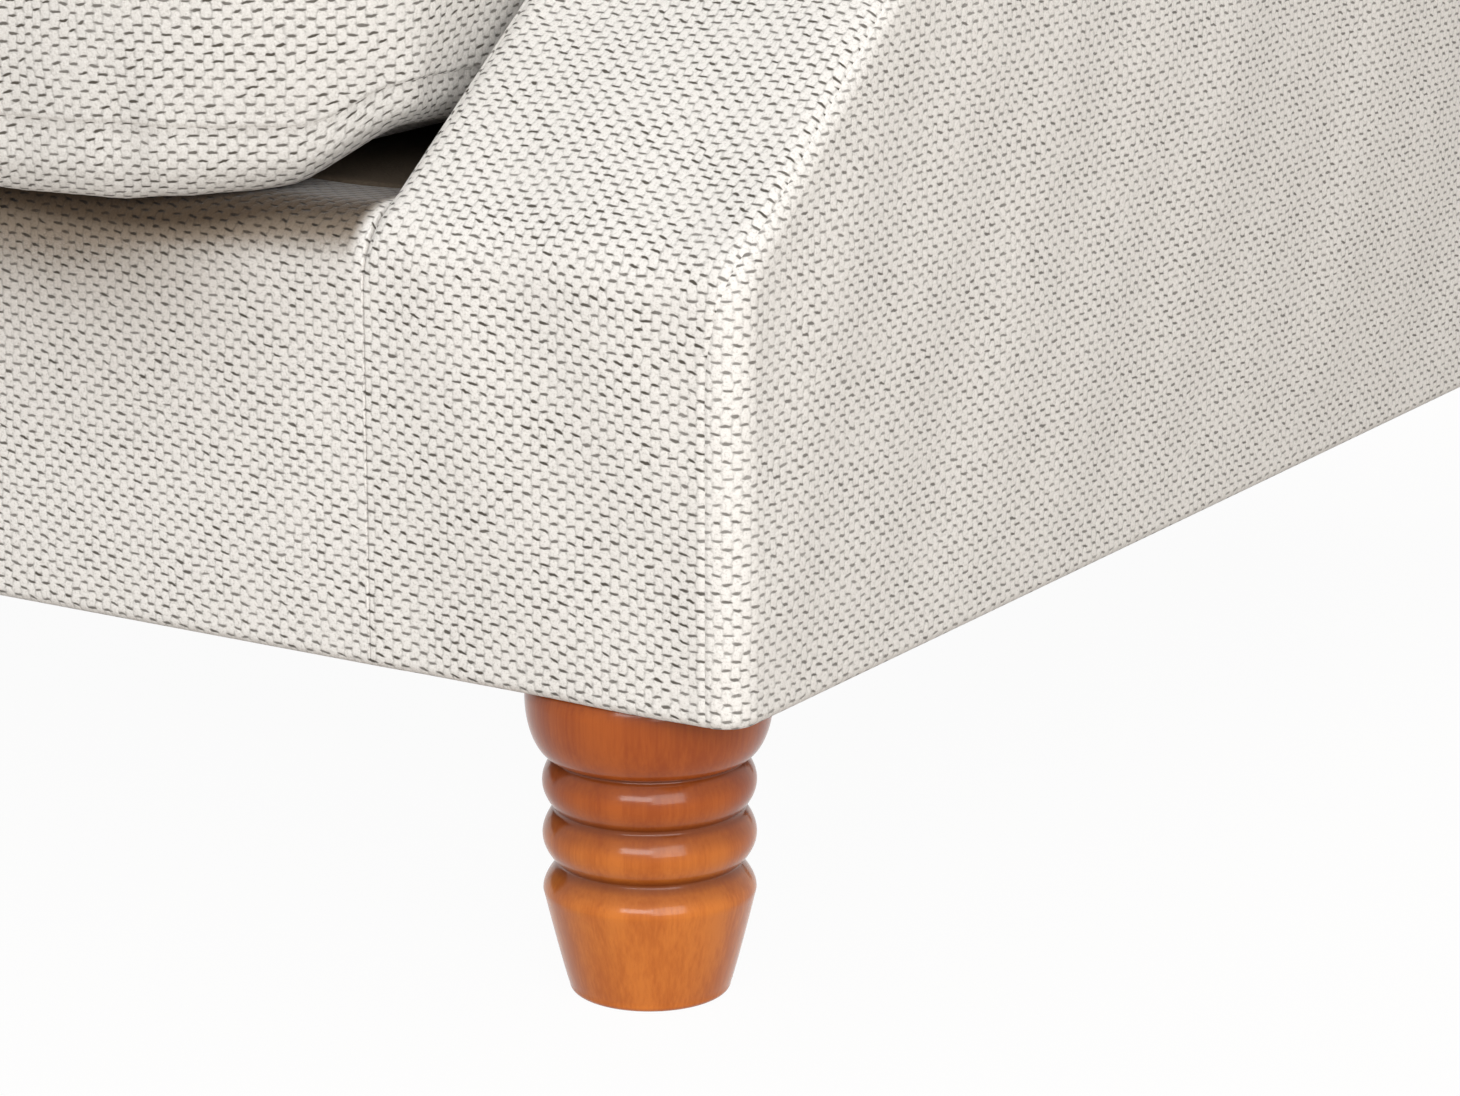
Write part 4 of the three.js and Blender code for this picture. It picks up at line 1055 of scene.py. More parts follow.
class SOFA_OT_outside_back(bpy.types.Operator):
    """Build the flat panel behind the whole sofa"""

    bl_idname = "sofa.outside_back"
    bl_label = "Outside Back"

    def execute(self, context):
        # The outline goes up the outer panel, round the roll and up the end of the back. Rows go
        # from side to side of it, and points sink by a quarter circle near it.
        arm = arm_shape()
        above = ARM_TOP_Z + (BACK_PANEL_Z - ARM_TOP_Z) * spread(60, 0.8)
        inset, corner_radius, step_up = 0.002, 0.026, 0.1 * MM
        half_above = BACK_HALF_WIDTH - inset - rolled(BACK_PANEL_Z - above, corner_radius)
        low = UNDERSIDE_Z + (arm.join_z - UNDERSIDE_Z) * spread(40, 0.8)
        roll = arm.outer_line[2:]
        edge = np.concatenate([
            np.stack([np.full_like(low, OUTER_X), low], -1), roll[roll[:, 0] > BACK_HALF_WIDTH],
            np.stack([half_above, above + step_up], -1)])
        outline = np.concatenate([[(0, UNDERSIDE_Z)], edge, [(0, edge[-1, 1])]])
        share = 2 * spread(151, 0.93) - 1
        x = edge[:, :1] * share
        up = np.broadcast_to(edge[:, 1:], x.shape)
        from_edge = distance_to_line(np.stack([np.abs(x), up], -1), outline)
        edge_radius, seam_inset = 0.005, 0.006
        depth = rolled(from_edge, edge_radius) + seam_dip(from_edge - seam_inset) * 0.4
        wave_size, wave_height, flat_edge, full_waves = 0.19, 1.1 * MM, 0.01, 0.09
        depth = depth - unevenness(x, up, 57, wave_size, wave_height) * ease(
            flat_edge, full_waves, from_edge)
        face = placed(x, rear_face(up) - depth, up)
        inner = placed(x, rear_face(up) - REAR_PANEL_THICKNESS, up)
        cloth = laid_cloth(face, np.stack([x, up], -1))
        piece = surface("outside_back_panel", shell(face, inner, cloth), "chenille_side")
        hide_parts("outside_back")
        return {"FINISHED"}


class SOFA_OT_straps(bpy.types.Operator):
    """Weave the four upright straps of the back"""

    bl_idname = "sofa.straps"
    bl_label = "Back Straps"

    def execute(self, context):
        # A flat band with ribs that follow a cosine across it, slack that follows half a sine
        # up it, and rounded edges.
        rib_height, slack = 0.12 * MM, 1.5 * MM
        count = len([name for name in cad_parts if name.startswith("back_webbing")])
        for i in range(count):
            node = f"back_webbing_{i + 1}"
            low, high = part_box(node)
            up = (low.z + (high.z - low.z) * spread(60, 0.5))[:, None]
            across = np.linspace(-1, 1, 33)
            half = (high.x - low.x) / 2
            x = (low.x + high.x) / 2 + half * across
            thickness = (high.y - low.y) - INSIDE_BACK_SLOPE * (high.z - low.z)
            back = low.y + INSIDE_BACK_SLOPE * (up - low.z)
            rib = rib_height * np.cos(across * 12 * np.pi)
            rim = rolled(half * (1 - np.abs(across)), thickness / 2)
            sag = slack * np.sin(np.pi * (up - low.z) / (high.z - low.z))
            grid = [np.broadcast_arrays(x, back + sign * (rib + rim) + offset + sag, up)
                    for sign, offset in ((1, 0), (-1, thickness))]
            front, rear = (np.stack(part, -1) for part in grid)
            cloth = np.stack(np.broadcast_arrays(x, up), -1)
            piece = surface(f"back_strap_{i + 1}", shell(front, rear, cloth), "strap_weave")
            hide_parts(node)
        return {"FINISHED"}


class SOFA_OT_dust_cover(bpy.types.Operator):
    """Stretch the black dust cover under the frame and staple it along its edges"""

    bl_idname = "sofa.dust_cover"
    bl_label = "Dust Cover"

    def execute(self, context):
        # The cloth hangs by the product, across and along, of the square root of half a sine,
        # and ripples near its edges.
        low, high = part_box("dust_cover")
        thickness, clearance = 0.7 * MM, 0.2 * MM
        across, along = spread(90, 0.6), spread(60, 0.6)[:, None]
        x = blend(low.x, high.x, across)
        y = blend(low.y, high.y, along)
        slack, ripple_height, ripple_pitch, ripple_reach = 0.004, 0.6 * MM, 0.07, 0.05
        sag = slack * np.sin(np.pi * across) ** 0.5 * np.sin(np.pi * along) ** 0.5
        from_side = np.minimum(x - low.x, high.x - x)
        from_edge = np.minimum(from_side, np.minimum(y - low.y, high.y - y))
        ripple = ripple_height * np.sin((x + y) * 2 * np.pi / ripple_pitch) * np.exp(
            -from_edge / ripple_reach)
        flat_edge = 0.01
        level = high.z - thickness - clearance
        under = level - sag + ripple * ease(0, flat_edge, from_edge)
        parts = [np.stack(np.broadcast_arrays(x, y, z), -1) for z in (under, under + thickness)]
        cloth = parts[0][..., :2]
        sheet = surface("stretched_dust_cover", shell(*parts, cloth), "black_cloth")
        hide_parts("dust_cover")
        staples = self.build_staples(low, high, level)
        return {"FINISHED"}

    def build_staples(self, low, high, top):
        """Each staple is a flat crown of wire with rounded ends that lie on the cloth."""
        inset, step, half_crown, wire = 0.010, 0.055, 0.0055, 0.6 * MM
        first, last, weld = 0.14, 0.13, 0.002 * MM
        places = []
        for x in np.arange(low.x + first, high.x - last, step):
            places += [(x, low.y + inset, 0.0), (x, high.y - inset, 0.0)]
        for y in np.arange(low.y + first, high.y - last, step):
            places += [(low.x + inset, y, 1.0), (high.x - inset, y, 1.0)]
        places = np.array(places)
        along = np.array([-1.0, -0.86, 0.86, 1.0]) * half_crown
        down = np.array([0.2, 1.0, 1.0, 0.2]) * wire
        angle = np.linspace(0, 2 * np.pi, 7)
        thick = wire / 2
        ring_y, ring_z = thick * np.cos(angle), thick * np.sin(angle)
        patches = []
        for x, y, turned in places:
            run = along[:, None] + 0 * ring_y
            side = np.broadcast_to(ring_y, run.shape)
            level = top - down[:, None] + ring_z
            pair = (x + side, y + run) if turned else (x + run, y + side)
            tube = np.stack([*pair, level], -1)
            ends = tube[[0, 0]].copy(), tube[[-1, -1]].copy()
            for end in ends:
                end[1] = end[1].mean(0)
            patches += [(part, part[..., :2]) for part in (tube, *ends)]
        return surface("dust_cover_staples", patches, "zinc_plating",
                       weld=weld)


class SOFA_OT_border(bpy.types.Operator):
    """Build the padded front border and the deck behind it"""

    bl_idname = "sofa.border"
    bl_label = "Border and Deck"

    def execute(self, context):
        # Rows lie at distances up the front, round the top edge and back over the deck, and
        # points sink by a quarter circle at the hem and at the two ends.
        sizes = context.scene.roll_arm_sofa.arms
        line = smooth_line([(0, UNDERSIDE_Z), (0, DECK_Z), (DECK_FRONT, DECK_Z)], [BORDER_RADIUS])
        lengths = (lengths_along(line)[-1] * spread(90, 0.8))[:, None]
        place, into = on_line(line, lengths)
        half = INNER_X - CREASE_CLEARANCE
        x = half * (2 * spread(260, 0.97) - 1)
        depth = np.maximum(rolled(lengths, sizes.hem_radius),
                           rolled(half - np.abs(x), sizes.crease_radius / 2))
        wave_size, wave_height, side_fade, hem_fade = 0.24, 1.0 * MM, 0.04, 0.02
        depth = depth - unevenness(x, lengths, 41, wave_size, wave_height) * ease(
            0, side_fade, half - np.abs(x)) * ease(0, hem_fade, lengths)
        back, up = place[..., 0], place[..., 1]
        face = placed(x, back + into[..., 0] * depth, up + into[..., 1] * depth)
        rear = placed(x, back + into[..., 0] * COVER_THICKNESS,
                      up + into[..., 1] * COVER_THICKNESS)
        rear[..., 2] = np.maximum(rear[..., 2], UNDERSIDE_Z)
        cloth = laid_cloth(face, np.stack(np.broadcast_arrays(x, lengths), -1))
        piece = surface("front_border", shell(face, rear, cloth), "chenille_border")
        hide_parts("front_border_cover")

        # The deck is flat with rounded edges and slow waves.
        deck_low, deck_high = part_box("seat_deck")
        across = (half * (2 * spread(120, 0.9) - 1))[None, :]
        along = blend(deck_low.y, deck_high.y, spread(90, 0.9))[:, None]
        edge = np.minimum(half - np.abs(across), along - deck_low.y)
        edge_radius, drop, wave_size, wave_height = 0.006, 0.4 * MM, 0.2, 0.3 * MM
        top = deck_high.z - rolled(edge, edge_radius) - drop + unevenness(
            across, along, 43, wave_size, wave_height)
        face = np.stack(np.broadcast_arrays(across, along, top), -1)
        rear = face.copy()
        rear[..., 2] = deck_low.z
        cloth = np.stack(np.broadcast_arrays(across, along), -1)
        piece = surface("sprung_deck", shell(face, rear, cloth), "platform_cloth")
        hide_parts("seat_deck")
        return {"FINISHED"}


def cushion_plan(half_width, half_depth, draw, power, corner, rear_corner, near, count=561):
    """The closed plan of a cushion and its inward normals, starting at the middle of the rear.
    The front edge is drawn back towards its corners by a power of the distance from the middle,
    and an arc that starts near them joins it to each straight side."""

    def front(share):
        return np.stack([half_width * share, draw * np.abs(share) ** power - half_depth], -1)

    right = smooth_line([(0, half_depth), (half_width, half_depth), front(np.array(1.0)),
                         front(np.array(near))], [rear_corner, corner])
    middle = front(near * np.sin(np.linspace(1, -1, 161)[1:-1] * math.pi / 2))
    line = np.concatenate([right, middle, right[::-1] * (-1, 1)])
    return on_line(line, np.linspace(0, lengths_along(line)[-1], count))


def cushion_patches(size, seed):
    """The boxing and the two panels of a cushion that lies flat, with its front at -y and its
    lower seam at z = 0. The boxing swells by a half sine between the seams. A panel leaves its
    seam as a quarter ellipse. The crown on top is the product, across and along, of one less a
    power of the share of the way to the edge. Slow waves, and short puckers along the seams, are
    added to all three. The weave of the lower panel's rim follows the seam.

    The plan takes half_width, half_depth, draw, power, corner, rear_corner and near. The boxing
    takes boxing for its height, bulge for its swell, and corner_lift for the rise of the lower
    seam at the front corners. The lower panel takes hang and corner_hang in front, low_crown
    where it rests, low_roll for its edge and rim. The upper panel takes high_edge and high_roll
    for its edge, and high_crown, high_power and wave. The seams take pucker."""
    seam_reach, pucker_reach, pucker_start = 0.018, 0.022, 0.004
    wave_start, lift_reach, boxing_wave, panel_wave = 0.05, 0.08, 0.14, 0.22
    boxing_wave_height = 1.2 * MM
    half_width, half_depth, boxing = size["half_width"], size["half_depth"], size["boxing"]
    line, into = cushion_plan(half_width, half_depth, size["draw"], size["power"],
                              size["corner"], size["rear_corner"], size["near"])
    out = -into
    around = lengths_along(line)
    to_front = ease(0, -half_depth, line[:, 1])
    across = np.abs(line[:, 0]) / half_width
    seam = line - out * size["bulge"] * (1 - to_front * np.clip(-out[:, 1], 0, 1))[:, None]
    lift = size["corner_lift"] * ease(0.92, 1.0, across) * to_front
    phase = around / around[-1] * 2 * np.pi
    ripple = sum(np.sin(turns * phase + turns**2 + seed) for turns in (41, 67, 97, 131))
    ripple = ripple * size["pucker"] / 2

    # The boxing, whose rows lie at shares of the way up it
    up = spread(44, 0.75)[:, None]
    swell = size["bulge"] * np.sin(np.pi * up) ** 0.7
    near_seam = np.exp(-np.minimum(up, 1 - up) * boxing / seam_reach)
    low_dip, high_dip = seam_dip(up * boxing), seam_dip((1 - up) * boxing)
    swell = swell + ripple * near_seam - low_dip - high_dip
    waves = unevenness(around, up * boxing, seed, boxing_wave, boxing_wave_height)
    swell = swell + waves * np.sin(np.pi * up)
    band = seam + out * swell[..., None]
    band_z = lift * (1 - up) + boxing * up + low_dip - high_dip

    # The two panels, whose rows lie at shares of the way out from the middle to the seam
    shares = 1 - spread(96, 0.97)[:48] * 2
    shares = np.concatenate([shares, [0.0]])[:, None]
    inset = (1 - shares) * half_depth
    puckered = ripple * np.exp(-inset / pucker_reach) * (1 - np.exp(-inset / pucker_start))
    at_corner = ((across - 0.76) / 0.27).clip(0, 1) ** 1.7
    hang = blend(size["hang"], size["corner_hang"], at_corner)
    hang = blend(size["low_crown"], hang, to_front)
    edge = np.sqrt(1 - (1 - np.clip(inset / size["low_roll"], 0, 1)) ** 2)
    settled = ease(size["low_roll"], blend(3.4, 4.6, at_corner) * size["low_roll"], inset)
    low = -blend(hang * edge, size["low_crown"], settled) + lift * (
        1 - ease(0, lift_reach, inset)) + puckered * 0.6 + seam_dip(inset)
    edge = np.sqrt(1 - (1 - np.clip(inset / size["high_roll"], 0, 1)) ** 2)
    crown = size["high_crown"] - size["high_edge"]
    flat = seam * shares[..., None]
    edge_shares = np.abs(flat / (half_width, half_depth))
    dome = np.prod(1 - edge_shares.clip(0, 1) ** size["high_power"], axis=-1)
    risen = ease(0, wave_start, inset)
    high = boxing + size["high_edge"] * edge + crown * dome * risen
    waves = unevenness(flat[..., 0], flat[..., 1], seed + 5, panel_wave, size["wave"])
    high = high + puckered + waves * risen - seam_dip(inset)
    flat = flat + out * (ripple * np.exp(-inset / seam_reach) - seam_dip(inset))[..., None]
    outward = np.sign(flat) * np.abs(flat / (half_width, half_depth)) ** 5

    # The cloth coordinates, which leave room for the slopes
    low_spare, high_spare = spare_cloth(inset, low), spare_cloth(inset, high)
    patches = []
    for level, spare in ((low, low_spare), (high, high_spare)):
        points = np.stack([*np.moveaxis(flat, -1, 0), level], -1)
        patches.append((points, flat + outward * spare[..., None]))
    box = np.stack([band[..., 0], band[..., 1], band_z], -1)
    patches.append((box, np.stack(np.broadcast_arrays(around, band_z), -1)))
    points, cloth = patches[0]
    rim = np.searchsorted(inset[:, 0], size["rim"])
    rim_cloth = np.stack(np.broadcast_arrays(around, low_spare - low_spare[:1] - inset), -1)
    patches[0] = (points[rim:], cloth[rim:])
    patches.append((points[:rim + 1], rim_cloth[:rim + 1]))
    return patches


def spare_cloth(inset, level, edge=0.08):
    """How much longer the cloth is than its plan, from the inside of the edge to each row: the sum
    of the sloping steps less the flat steps. The steps fade out inside the edge."""
    flat_steps = np.broadcast_to(np.diff(inset, axis=0), level[1:].shape)
    spare = np.hypot(flat_steps, np.diff(level, axis=0)) - flat_steps
    spare = spare * ease(edge, edge / 2, inset[1:])
    total = np.cumsum(spare[::-1], axis=0)[::-1]
    return np.concatenate([total, np.zeros_like(total[:1])])


class SOFA_OT_seat_cushions(bpy.types.Operator):
    """Build the two loose seat cushions"""

    bl_idname = "sofa.seat_cushions"
    bl_label = "Seat Cushions"

    def execute(self, context):
        # Each cushion lies flat, with the crown below its lower seam just above the deck.
        sizes = context.scene.roll_arm_sofa.cushions
        for seed, side in enumerate(SIDES):
            low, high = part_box(f"{side}_seat_cushion_cover")
            size = {
                "half_width": (high.x - low.x) / 2, "half_depth": (high.y - low.y) / 2,
                "draw": 0.070, "power": 7.2, "corner": 0.045, "rear_corner": 0.040,
                "near": 0.93, "bulge": 0.005, "boxing": sizes.boxing, "corner_lift": 0.017,
                "pucker": 1.2 * MM, "hang": 0.0295, "corner_hang": 0.015,
                "low_crown": SEAT_LOW_CROWN, "low_roll": 0.014, "rim": 0.042,
                "high_roll": 0.030, "high_edge": 0.008, "high_crown": 0.027,
                "high_power": 2.8, "wave": 1.4 * MM}
            centre = (low + high) / 2
            patches = [(points + (centre.x, centre.y, low.z + size["low_crown"]), cloth)
                       for points, cloth in cushion_patches(size, 61 + seed)]
            piece = surface(f"{side}_seat_cushion", patches, "chenille_cushion",
                            f"{side}_seat_cushion")
            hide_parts(f"{side}_seat_cushion_cover", f"{side}_seat_cushion_insert")
        return {"FINISHED"}


class SOFA_OT_back_cushions(bpy.types.Operator):
    """Build the two loose back cushions, which lean on the inside back"""

    bl_idname = "sofa.back_cushions"
    bl_label = "Back Cushions"

    def execute(self, context):
        # A flat cushion is turned up until its lower panel lies along the lean of the back.
        sizes = context.scene.roll_arm_sofa.cushions
        lean = math.atan(INSIDE_BACK_SLOPE)
        for seed, side in enumerate(SIDES):
            low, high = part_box(f"{side}_back_cushion_cover")
            size = {
                "half_width": (high.x - low.x) / 2, "half_depth": sizes.back_height / 2,
                "draw": 0.026, "power": 4.0, "corner": 0.045, "rear_corner": 0.040,
                "near": 0.86, "bulge": 0.006, "boxing": sizes.back_boxing, "corner_lift": 0.0,
                "pucker": 1.2 * MM, "hang": 0.016, "corner_hang": 0.012,
                "low_crown": 0.016, "low_roll": 0.026, "rim": 0.0,
                "high_roll": 0.040, "high_edge": 0.014, "high_crown": 0.046,
                "high_power": 2.5, "wave": 1.5 * MM}
            seat_top = DECK_Z + REST_CLEARANCE + SEAT_LOW_CROWN + sizes.boxing
            centre_z = seat_top + BACK_CUSHION_RISE + sizes.back_height / 2 * math.cos(lean)
            centre_y = FRONT_Y + inside_back(centre_z) - REST_CLEARANCE / math.cos(lean)
            centre_x = (low.x + high.x) / 2
            patches = []
            for points, cloth in cushion_patches(size, 81 + seed):
                x, up, out = np.moveaxis(points, -1, 0)
                out = out + size["low_crown"]
                turned = np.stack([
                    centre_x - x,
                    centre_y - up * math.sin(lean) - out * math.cos(lean),
                    centre_z - up * math.cos(lean) + out * math.sin(lean)], -1)
                patches.append((turned, cloth))
            piece = surface(f"{side}_back_cushion", patches, "chenille_cushion",
                            f"{side}_back_cushion")
            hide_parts(f"{side}_back_cushion_cover", f"{side}_back_cushion_insert")
        return {"FINISHED"}


# Height above the floor and radius of each groove of a turned foot
FOOT_GROOVES = ((0.0495, 0.0336), (0.0700, 0.0344), (0.0895, 0.0346))


def foot_profile():
    """Radius and height from the middle of the base to the middle of the top: an arc round the
    edge of the base, a cup that widens as a power of its height, a quarter wave into the first
    groove, a half wave for each bead, a quarter ellipse out to the bun, and a parabola in to the
    top."""
    base, edge, cup, cup_z, bead = 0.0272, 0.0024, 0.0389, 0.0386, 0.0390
    bun, bun_z, top, top_z = 0.0451, 0.112, 0.043, UNDERSIDE_Z - REST_CLEARANCE
    (low_z, low_r), (mid_z, mid_r), (high_z, high_r) = FOOT_GROOVES
    t = np.linspace(0, 1, 21)
    quarter = t * math.pi / 2
    lines = [np.stack([base * t, 0 * t], -1),
             np.stack([base + edge * np.sin(quarter), edge * (1 - np.cos(quarter))], -1),
             np.stack([base + edge + (cup - base - edge) * t**0.92,
                       edge + (cup_z - edge) * t], -1),
             np.stack([low_r + (cup - low_r) * np.cos(quarter) ** 1.25,
                       cup_z + (low_z - cup_z) * t], -1)]
    for first_z, first_r, next_z, next_r in ((low_z, low_r, mid_z, mid_r),
                                             (mid_z, mid_r, high_z, high_r)):
        floor = blend(first_r, next_r, t)
        lines.append(np.stack([floor + (bead - floor) * np.sin(t * math.pi) ** 0.85,
                               first_z + (next_z - first_z) * t], -1))
    lines.append(np.stack([high_r + (bun - high_r) * np.sin(quarter),
                           bun_z + (high_z - bun_z) * np.cos(quarter)], -1))
    lines.append(np.stack([blend(bun, top, t**2), blend(bun_z, top_z, t)], -1))
    lines.append(np.stack([top * (1 - t), top_z + 0 * t], -1))
    return np.concatenate([lines[0], *[line[1:] for line in lines[1:]]])


def groove_stain_and_shade(height, from_axis):
    """Where a foot is darkened, from 0 to 1: stain that gathers in a bell curve of the height about
    each groove, inside the radius of the beads, and half of it as painted shade on the upper slope
    of the bead below."""
    half_height, groove_radius, bead_radius = 0.0042, 0.0352, 0.0394
    edge, slope_start, slope_end = 1.0 * MM, 0.003, 0.0095
    stain_and_shade = np.zeros(len(height))
    for groove_z, _ in FOOT_GROOVES:
        below = groove_z - height
        in_groove = np.exp(-((below / half_height) ** 2))
        in_groove = in_groove * ease(bead_radius, groove_radius, from_axis)
        on_bead = 0.5 * ease(-edge, edge, below) * ease(slope_end, slope_start, below)
        stain_and_shade = np.maximum(stain_and_shade, np.maximum(in_groove, on_bead))
    return stain_and_shade


class SOFA_OT_feet(bpy.types.Operator):
    """Turn the four feet"""

    bl_idname = "sofa.feet"
    bl_label = "Turned Feet"

    def execute(self, context):
        # The profile goes once round the upright axis of each foot.
        look = context.scene.roll_arm_sofa.wood
        grain_radius, weld = 0.04, 0.001 * MM
        profile = foot_profile()
        angles = np.linspace(0, 2 * math.pi, look.facets + 1)
        radius, up = profile[:, :1], profile[:, 1:]
        spokes = np.stack([radius * np.cos(angles), radius * np.sin(angles),
                           np.broadcast_to(up, (len(profile), len(angles)))], -1)
        grain = np.stack(np.broadcast_arrays(angles * grain_radius, up), -1)
        for place in ("front_left", "front_right", "rear_left", "rear_right"):
            low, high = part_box(f"{place}_foot")
            centre = (low + high) / 2
            piece = surface(f"{place}_turned_foot", [(spokes + (centre.x, centre.y, 0), grain)],
                            "stained_wood_turned", weld=weld)
            points = np.zeros(len(piece.data.vertices) * 3, np.float32)
            piece.data.vertices.foreach_get("co", points)
            points = points.reshape(-1, 3)
            from_axis = np.hypot(points[:, 0] - centre.x, points[:, 1] - centre.y)
            # Stain in the grooves and painted shade on the upper slopes of the beads
            stain_and_shade = groove_stain_and_shade(points[:, 2], from_axis)
            layer = piece.data.attributes.new("groove", "FLOAT", "POINT")
            layer.data.foreach_set("value", stain_and_shade.astype(np.float32))
            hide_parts(f"{place}_foot")
        return {"FINISHED"}


class SOFA_OT_carried_over(bpy.types.Operator):
    """Finish the frame, springs and bolts that come over as they are"""

    bl_idname = "sofa.carried_over"
    bl_label = "Frame and Springs"

    def execute(self, context):
        timber = ("frame_wood", "frame_timber")
        finishes = {"rail": timber, "block": timber, "panel": timber, "former": timber,
                    "post": timber, "bolt": ("zinc_steel", "zinc_plating"),
                    "seat_spring": ("spring_steel", "spring_steel_wire")}
        for name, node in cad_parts.items():
            if node.hide_render:
                continue
            slot, finish = next(both for word, both in finishes.items() if word in name)
            node.data.materials.clear()
            node.data.materials.append(bpy.data.materials[finish])
        return {"FINISHED"}


class SOFA_OT_stage(bpy.types.Operator):
    """Build the pale floor, the lamps, the surround and the camera"""

    bl_idname = "sofa.stage"
    bl_label = "Stage"

    def execute(self, context):
        look = context.scene.roll_arm_sofa.studio
        scene = context.scene
        scene.view_settings.view_transform = "Standard"
        self.build_floor(look)
        self.build_world(look)
        self.build_lamps(look)
        self.build_camera(scene)
        return {"FINISHED"}

    def white_rays(self, graph):
        """1 for the rays that see the white surround, straight or in a gloss, and 0 for others."""
        path = graph.add("ShaderNodeLightPath")
        seen = graph.math("MAXIMUM", path.outputs["Is Camera Ray"],
                          path.outputs["Is Glossy Ray"])
        return graph.math("MAXIMUM", seen, path.outputs["Is Transmission Ray"])

    def build_floor(self, look):
        extent, glow = 30.0, 1.022
        corners = [(-extent, -extent, 0), (extent, -extent, 0), (extent, extent, 0),
                   (-extent, extent, 0)]
        mesh = bpy.data.meshes.new("floor")
        mesh.from_pydata(corners, [], [(0, 1, 2, 3)])
        floor = bpy.data.objects.new("floor", mesh)
        bpy.context.scene.collection.objects.link(floor)
        material = bpy.data.materials.new("pale_floor")
        material.use_nodes = True
        graph = Graph(material.node_tree)
        output = graph.add("ShaderNodeOutputMaterial")
        plain = graph.add("ShaderNodeBsdfDiffuse", {"Color": (0.50, 0.46, 0.42, 1.0)})
        white = graph.add("ShaderNodeEmission", {"Color": (1.0, 1.0, 1.0, 1.0),
                                                 "Strength": glow})
        share = graph.math("MULTIPLY", self.white_rays(graph), 1 - look.shadow_share)
        mix = graph.add("ShaderNodeMixShader", {"Fac": share})
        graph.feed(mix.inputs[1], plain.outputs[0])
        graph.feed(mix.inputs[2], white.outputs[0])
        graph.feed(output.inputs["Surface"], mix.outputs[0])
        mesh.materials.append(material)

    def build_world(self, look):
        world = bpy.data.worlds.new("surround")
        bpy.context.scene.world = world
        world.use_nodes = True
        graph = Graph(world.node_tree)
        output = graph.add("ShaderNodeOutputWorld")
        way = graph.add("ShaderNodeTexCoord").outputs["Generated"]
        rise = graph.add("ShaderNodeSeparateXYZ", {"Vector": way}).outputs["Z"]
        strength = graph.step(rise, 0.0, 0.8, 0.8 * look.ambient, 1.2 * look.ambient)
        soft = graph.add("ShaderNodeBackground", {"Color": (1.0, 0.985, 0.965, 1.0),
                                                  "Strength": strength})
        white = graph.add("ShaderNodeBackground", {"Color": (1.0, 1.0, 1.0, 1.0)})
        mix = graph.add("ShaderNodeMixShader", {"Fac": self.white_rays(graph)})
        graph.feed(mix.inputs[1], soft.outputs[0])
        graph.feed(mix.inputs[2], white.outputs[0])
        graph.feed(output.inputs["Surface"], mix.outputs[0])

    def build_lamps(self, look):
        corner = Vector((OUTER_X, FRONT_Y, UNDERSIDE_Z))
        lamps = (("key_lamp", (1.3, -4.2, 2.0), (2.8, 1.1), look.key, (0.97, 0.98, 0.98)),
                 ("side_lamp", (1.8, -1.35, 0.9), (1.6, 1.2), look.side, (1.0, 0.985, 0.965)),
                 ("rear_lamp", (-1.0, 4.2, 2.4), (2.4, 1.6), look.rear, (1.0, 0.985, 0.965)))
        for name, place, (width, height), power, color in lamps:
            lamp = bpy.data.lights.new(name, "AREA")
            lamp.shape, lamp.size, lamp.size_y = "RECTANGLE", width, height
            lamp.energy, lamp.color = power, color
            holder = bpy.data.objects.new(name, lamp)
            holder.location = corner + Vector(place)
            holder.rotation_euler = (corner - holder.location).to_track_quat(
                "-Z", "Y").to_euler()
            bpy.context.scene.collection.objects.link(holder)

    def build_camera(self, scene):
        azimuth, elevation = math.radians(32.122), math.radians(15.312)
        way = Vector((-math.sin(azimuth) * math.cos(elevation),
                      math.cos(azimuth) * math.cos(elevation), -math.sin(elevation)))
        data = bpy.data.cameras.new("camera")
        picture_width, focal_pixels = 1460, 5000
        data.lens = data.sensor_width * focal_pixels / picture_width
        camera = bpy.data.objects.new("camera", data)
        from_corner = Vector((0.87256, -1.39525, 0.51852))
        camera.location = Vector((OUTER_X, FRONT_Y, UNDERSIDE_Z)) + from_corner
        camera.rotation_euler = way.to_track_quat("-Z", "Y").to_euler()
        scene.collection.objects.link(camera)
        scene.camera = camera


OPERATORS = (
    SOFA_OT_finishes,
    SOFA_OT_arm_facings,
    SOFA_OT_outside_arms,
    SOFA_OT_inside_arms,
    SOFA_OT_inside_back,
    SOFA_OT_outside_back,
    SOFA_OT_straps,
    SOFA_OT_dust_cover,
    SOFA_OT_border,
    SOFA_OT_seat_cushions,
    SOFA_OT_back_cushions,
    SOFA_OT_feet,
    SOFA_OT_carried_over,
    SOFA_OT_stage,
)


class SOFA_PT_panel(bpy.types.Panel):
    """Lists the steps that dress the sofa"""

    bl_idname = "SOFA_PT_panel"
    bl_label = "Roll Arm Sofa"
    bl_space_type = "VIEW_3D"
    bl_region_type = "UI"
    bl_category = "Sofa"

    def draw(self, context):
        settings = context.scene.roll_arm_sofa
        for group in (settings.arms, settings.cushions, settings.back, settings.weave,
                      settings.wood, settings.studio):
            box = self.layout.box()
            for name in group.bl_rna.properties.keys():
                if name not in ("rna_type", "name"):
                    box.prop(group, name)
        for one in OPERATORS:
            self.layout.operator(one.bl_idname)


CLASSES = (ArmSizes, CushionSizes, BackSizes, WeaveLook, WoodLook, StudioLook, SofaSettings,
           *OPERATORS, SOFA_PT_panel)


def register():
    for one in CLASSES:
        bpy.utils.register_class(one)
    bpy.types.Scene.roll_arm_sofa = PointerProperty(type=SofaSettings)


def unregister():
    del bpy.types.Scene.roll_arm_sofa
    for one in reversed(CLASSES):
        bpy.utils.unregister_class(one)


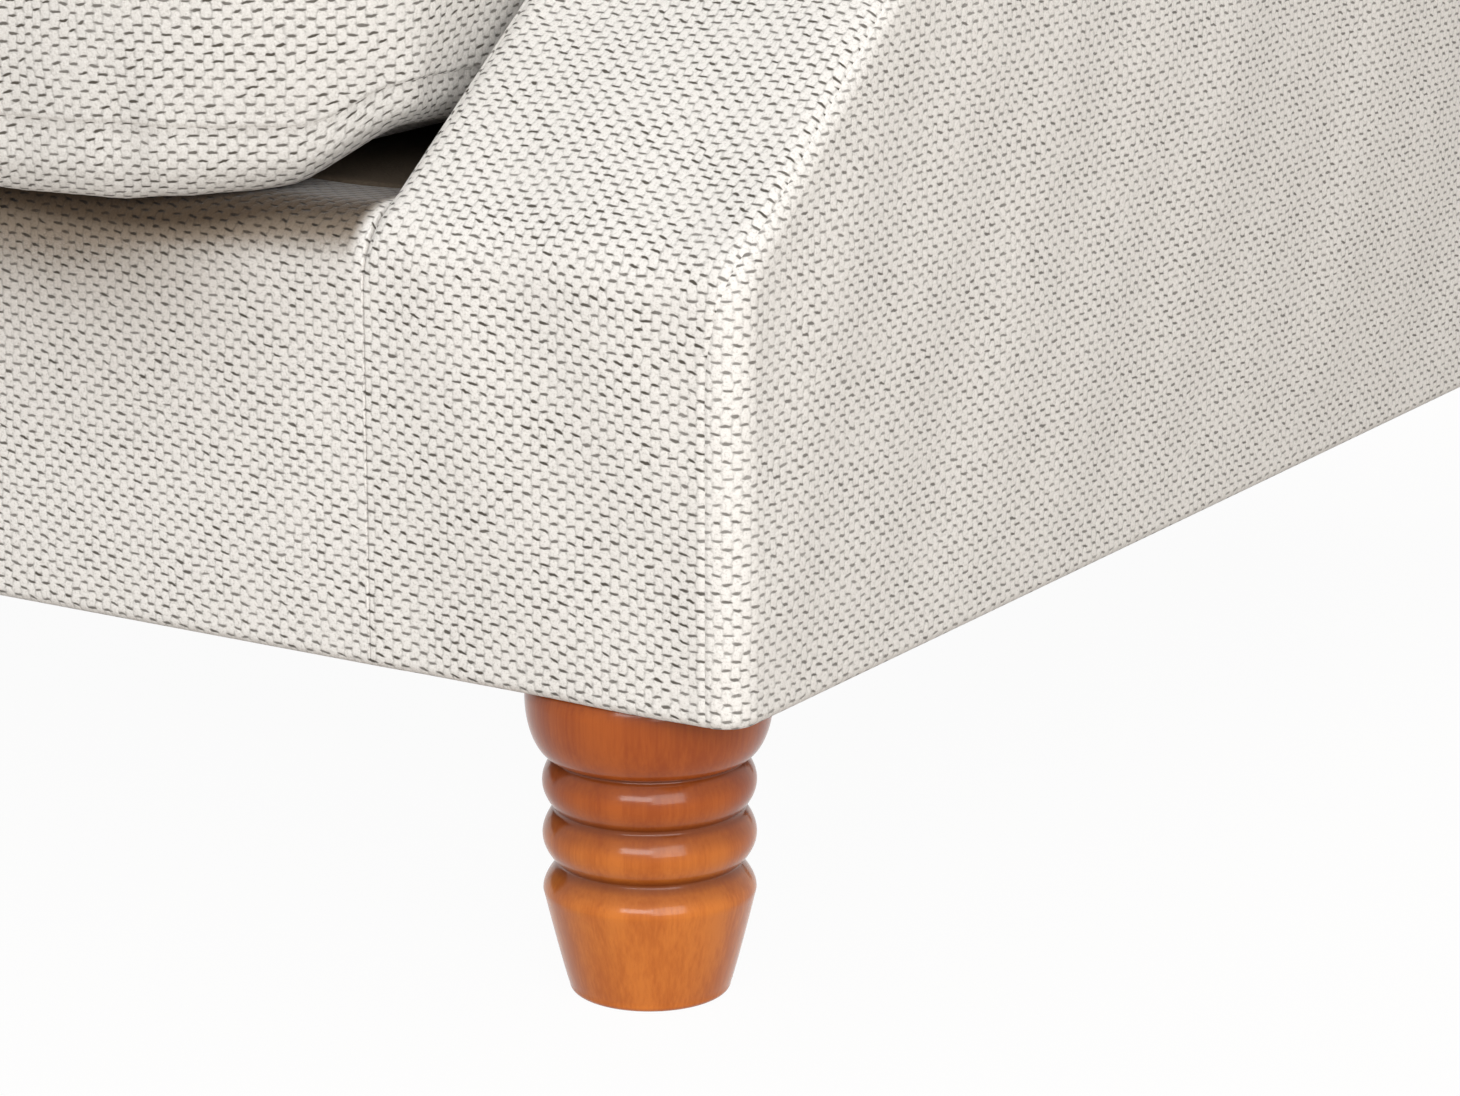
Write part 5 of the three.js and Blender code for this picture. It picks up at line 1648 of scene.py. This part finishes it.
def main():
    """Register the classes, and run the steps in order."""
    register()
    for one in OPERATORS:
        section, name = one.bl_idname.split(".")
        getattr(getattr(bpy.ops, section), name)()


if __name__ == "__main__":
    main()
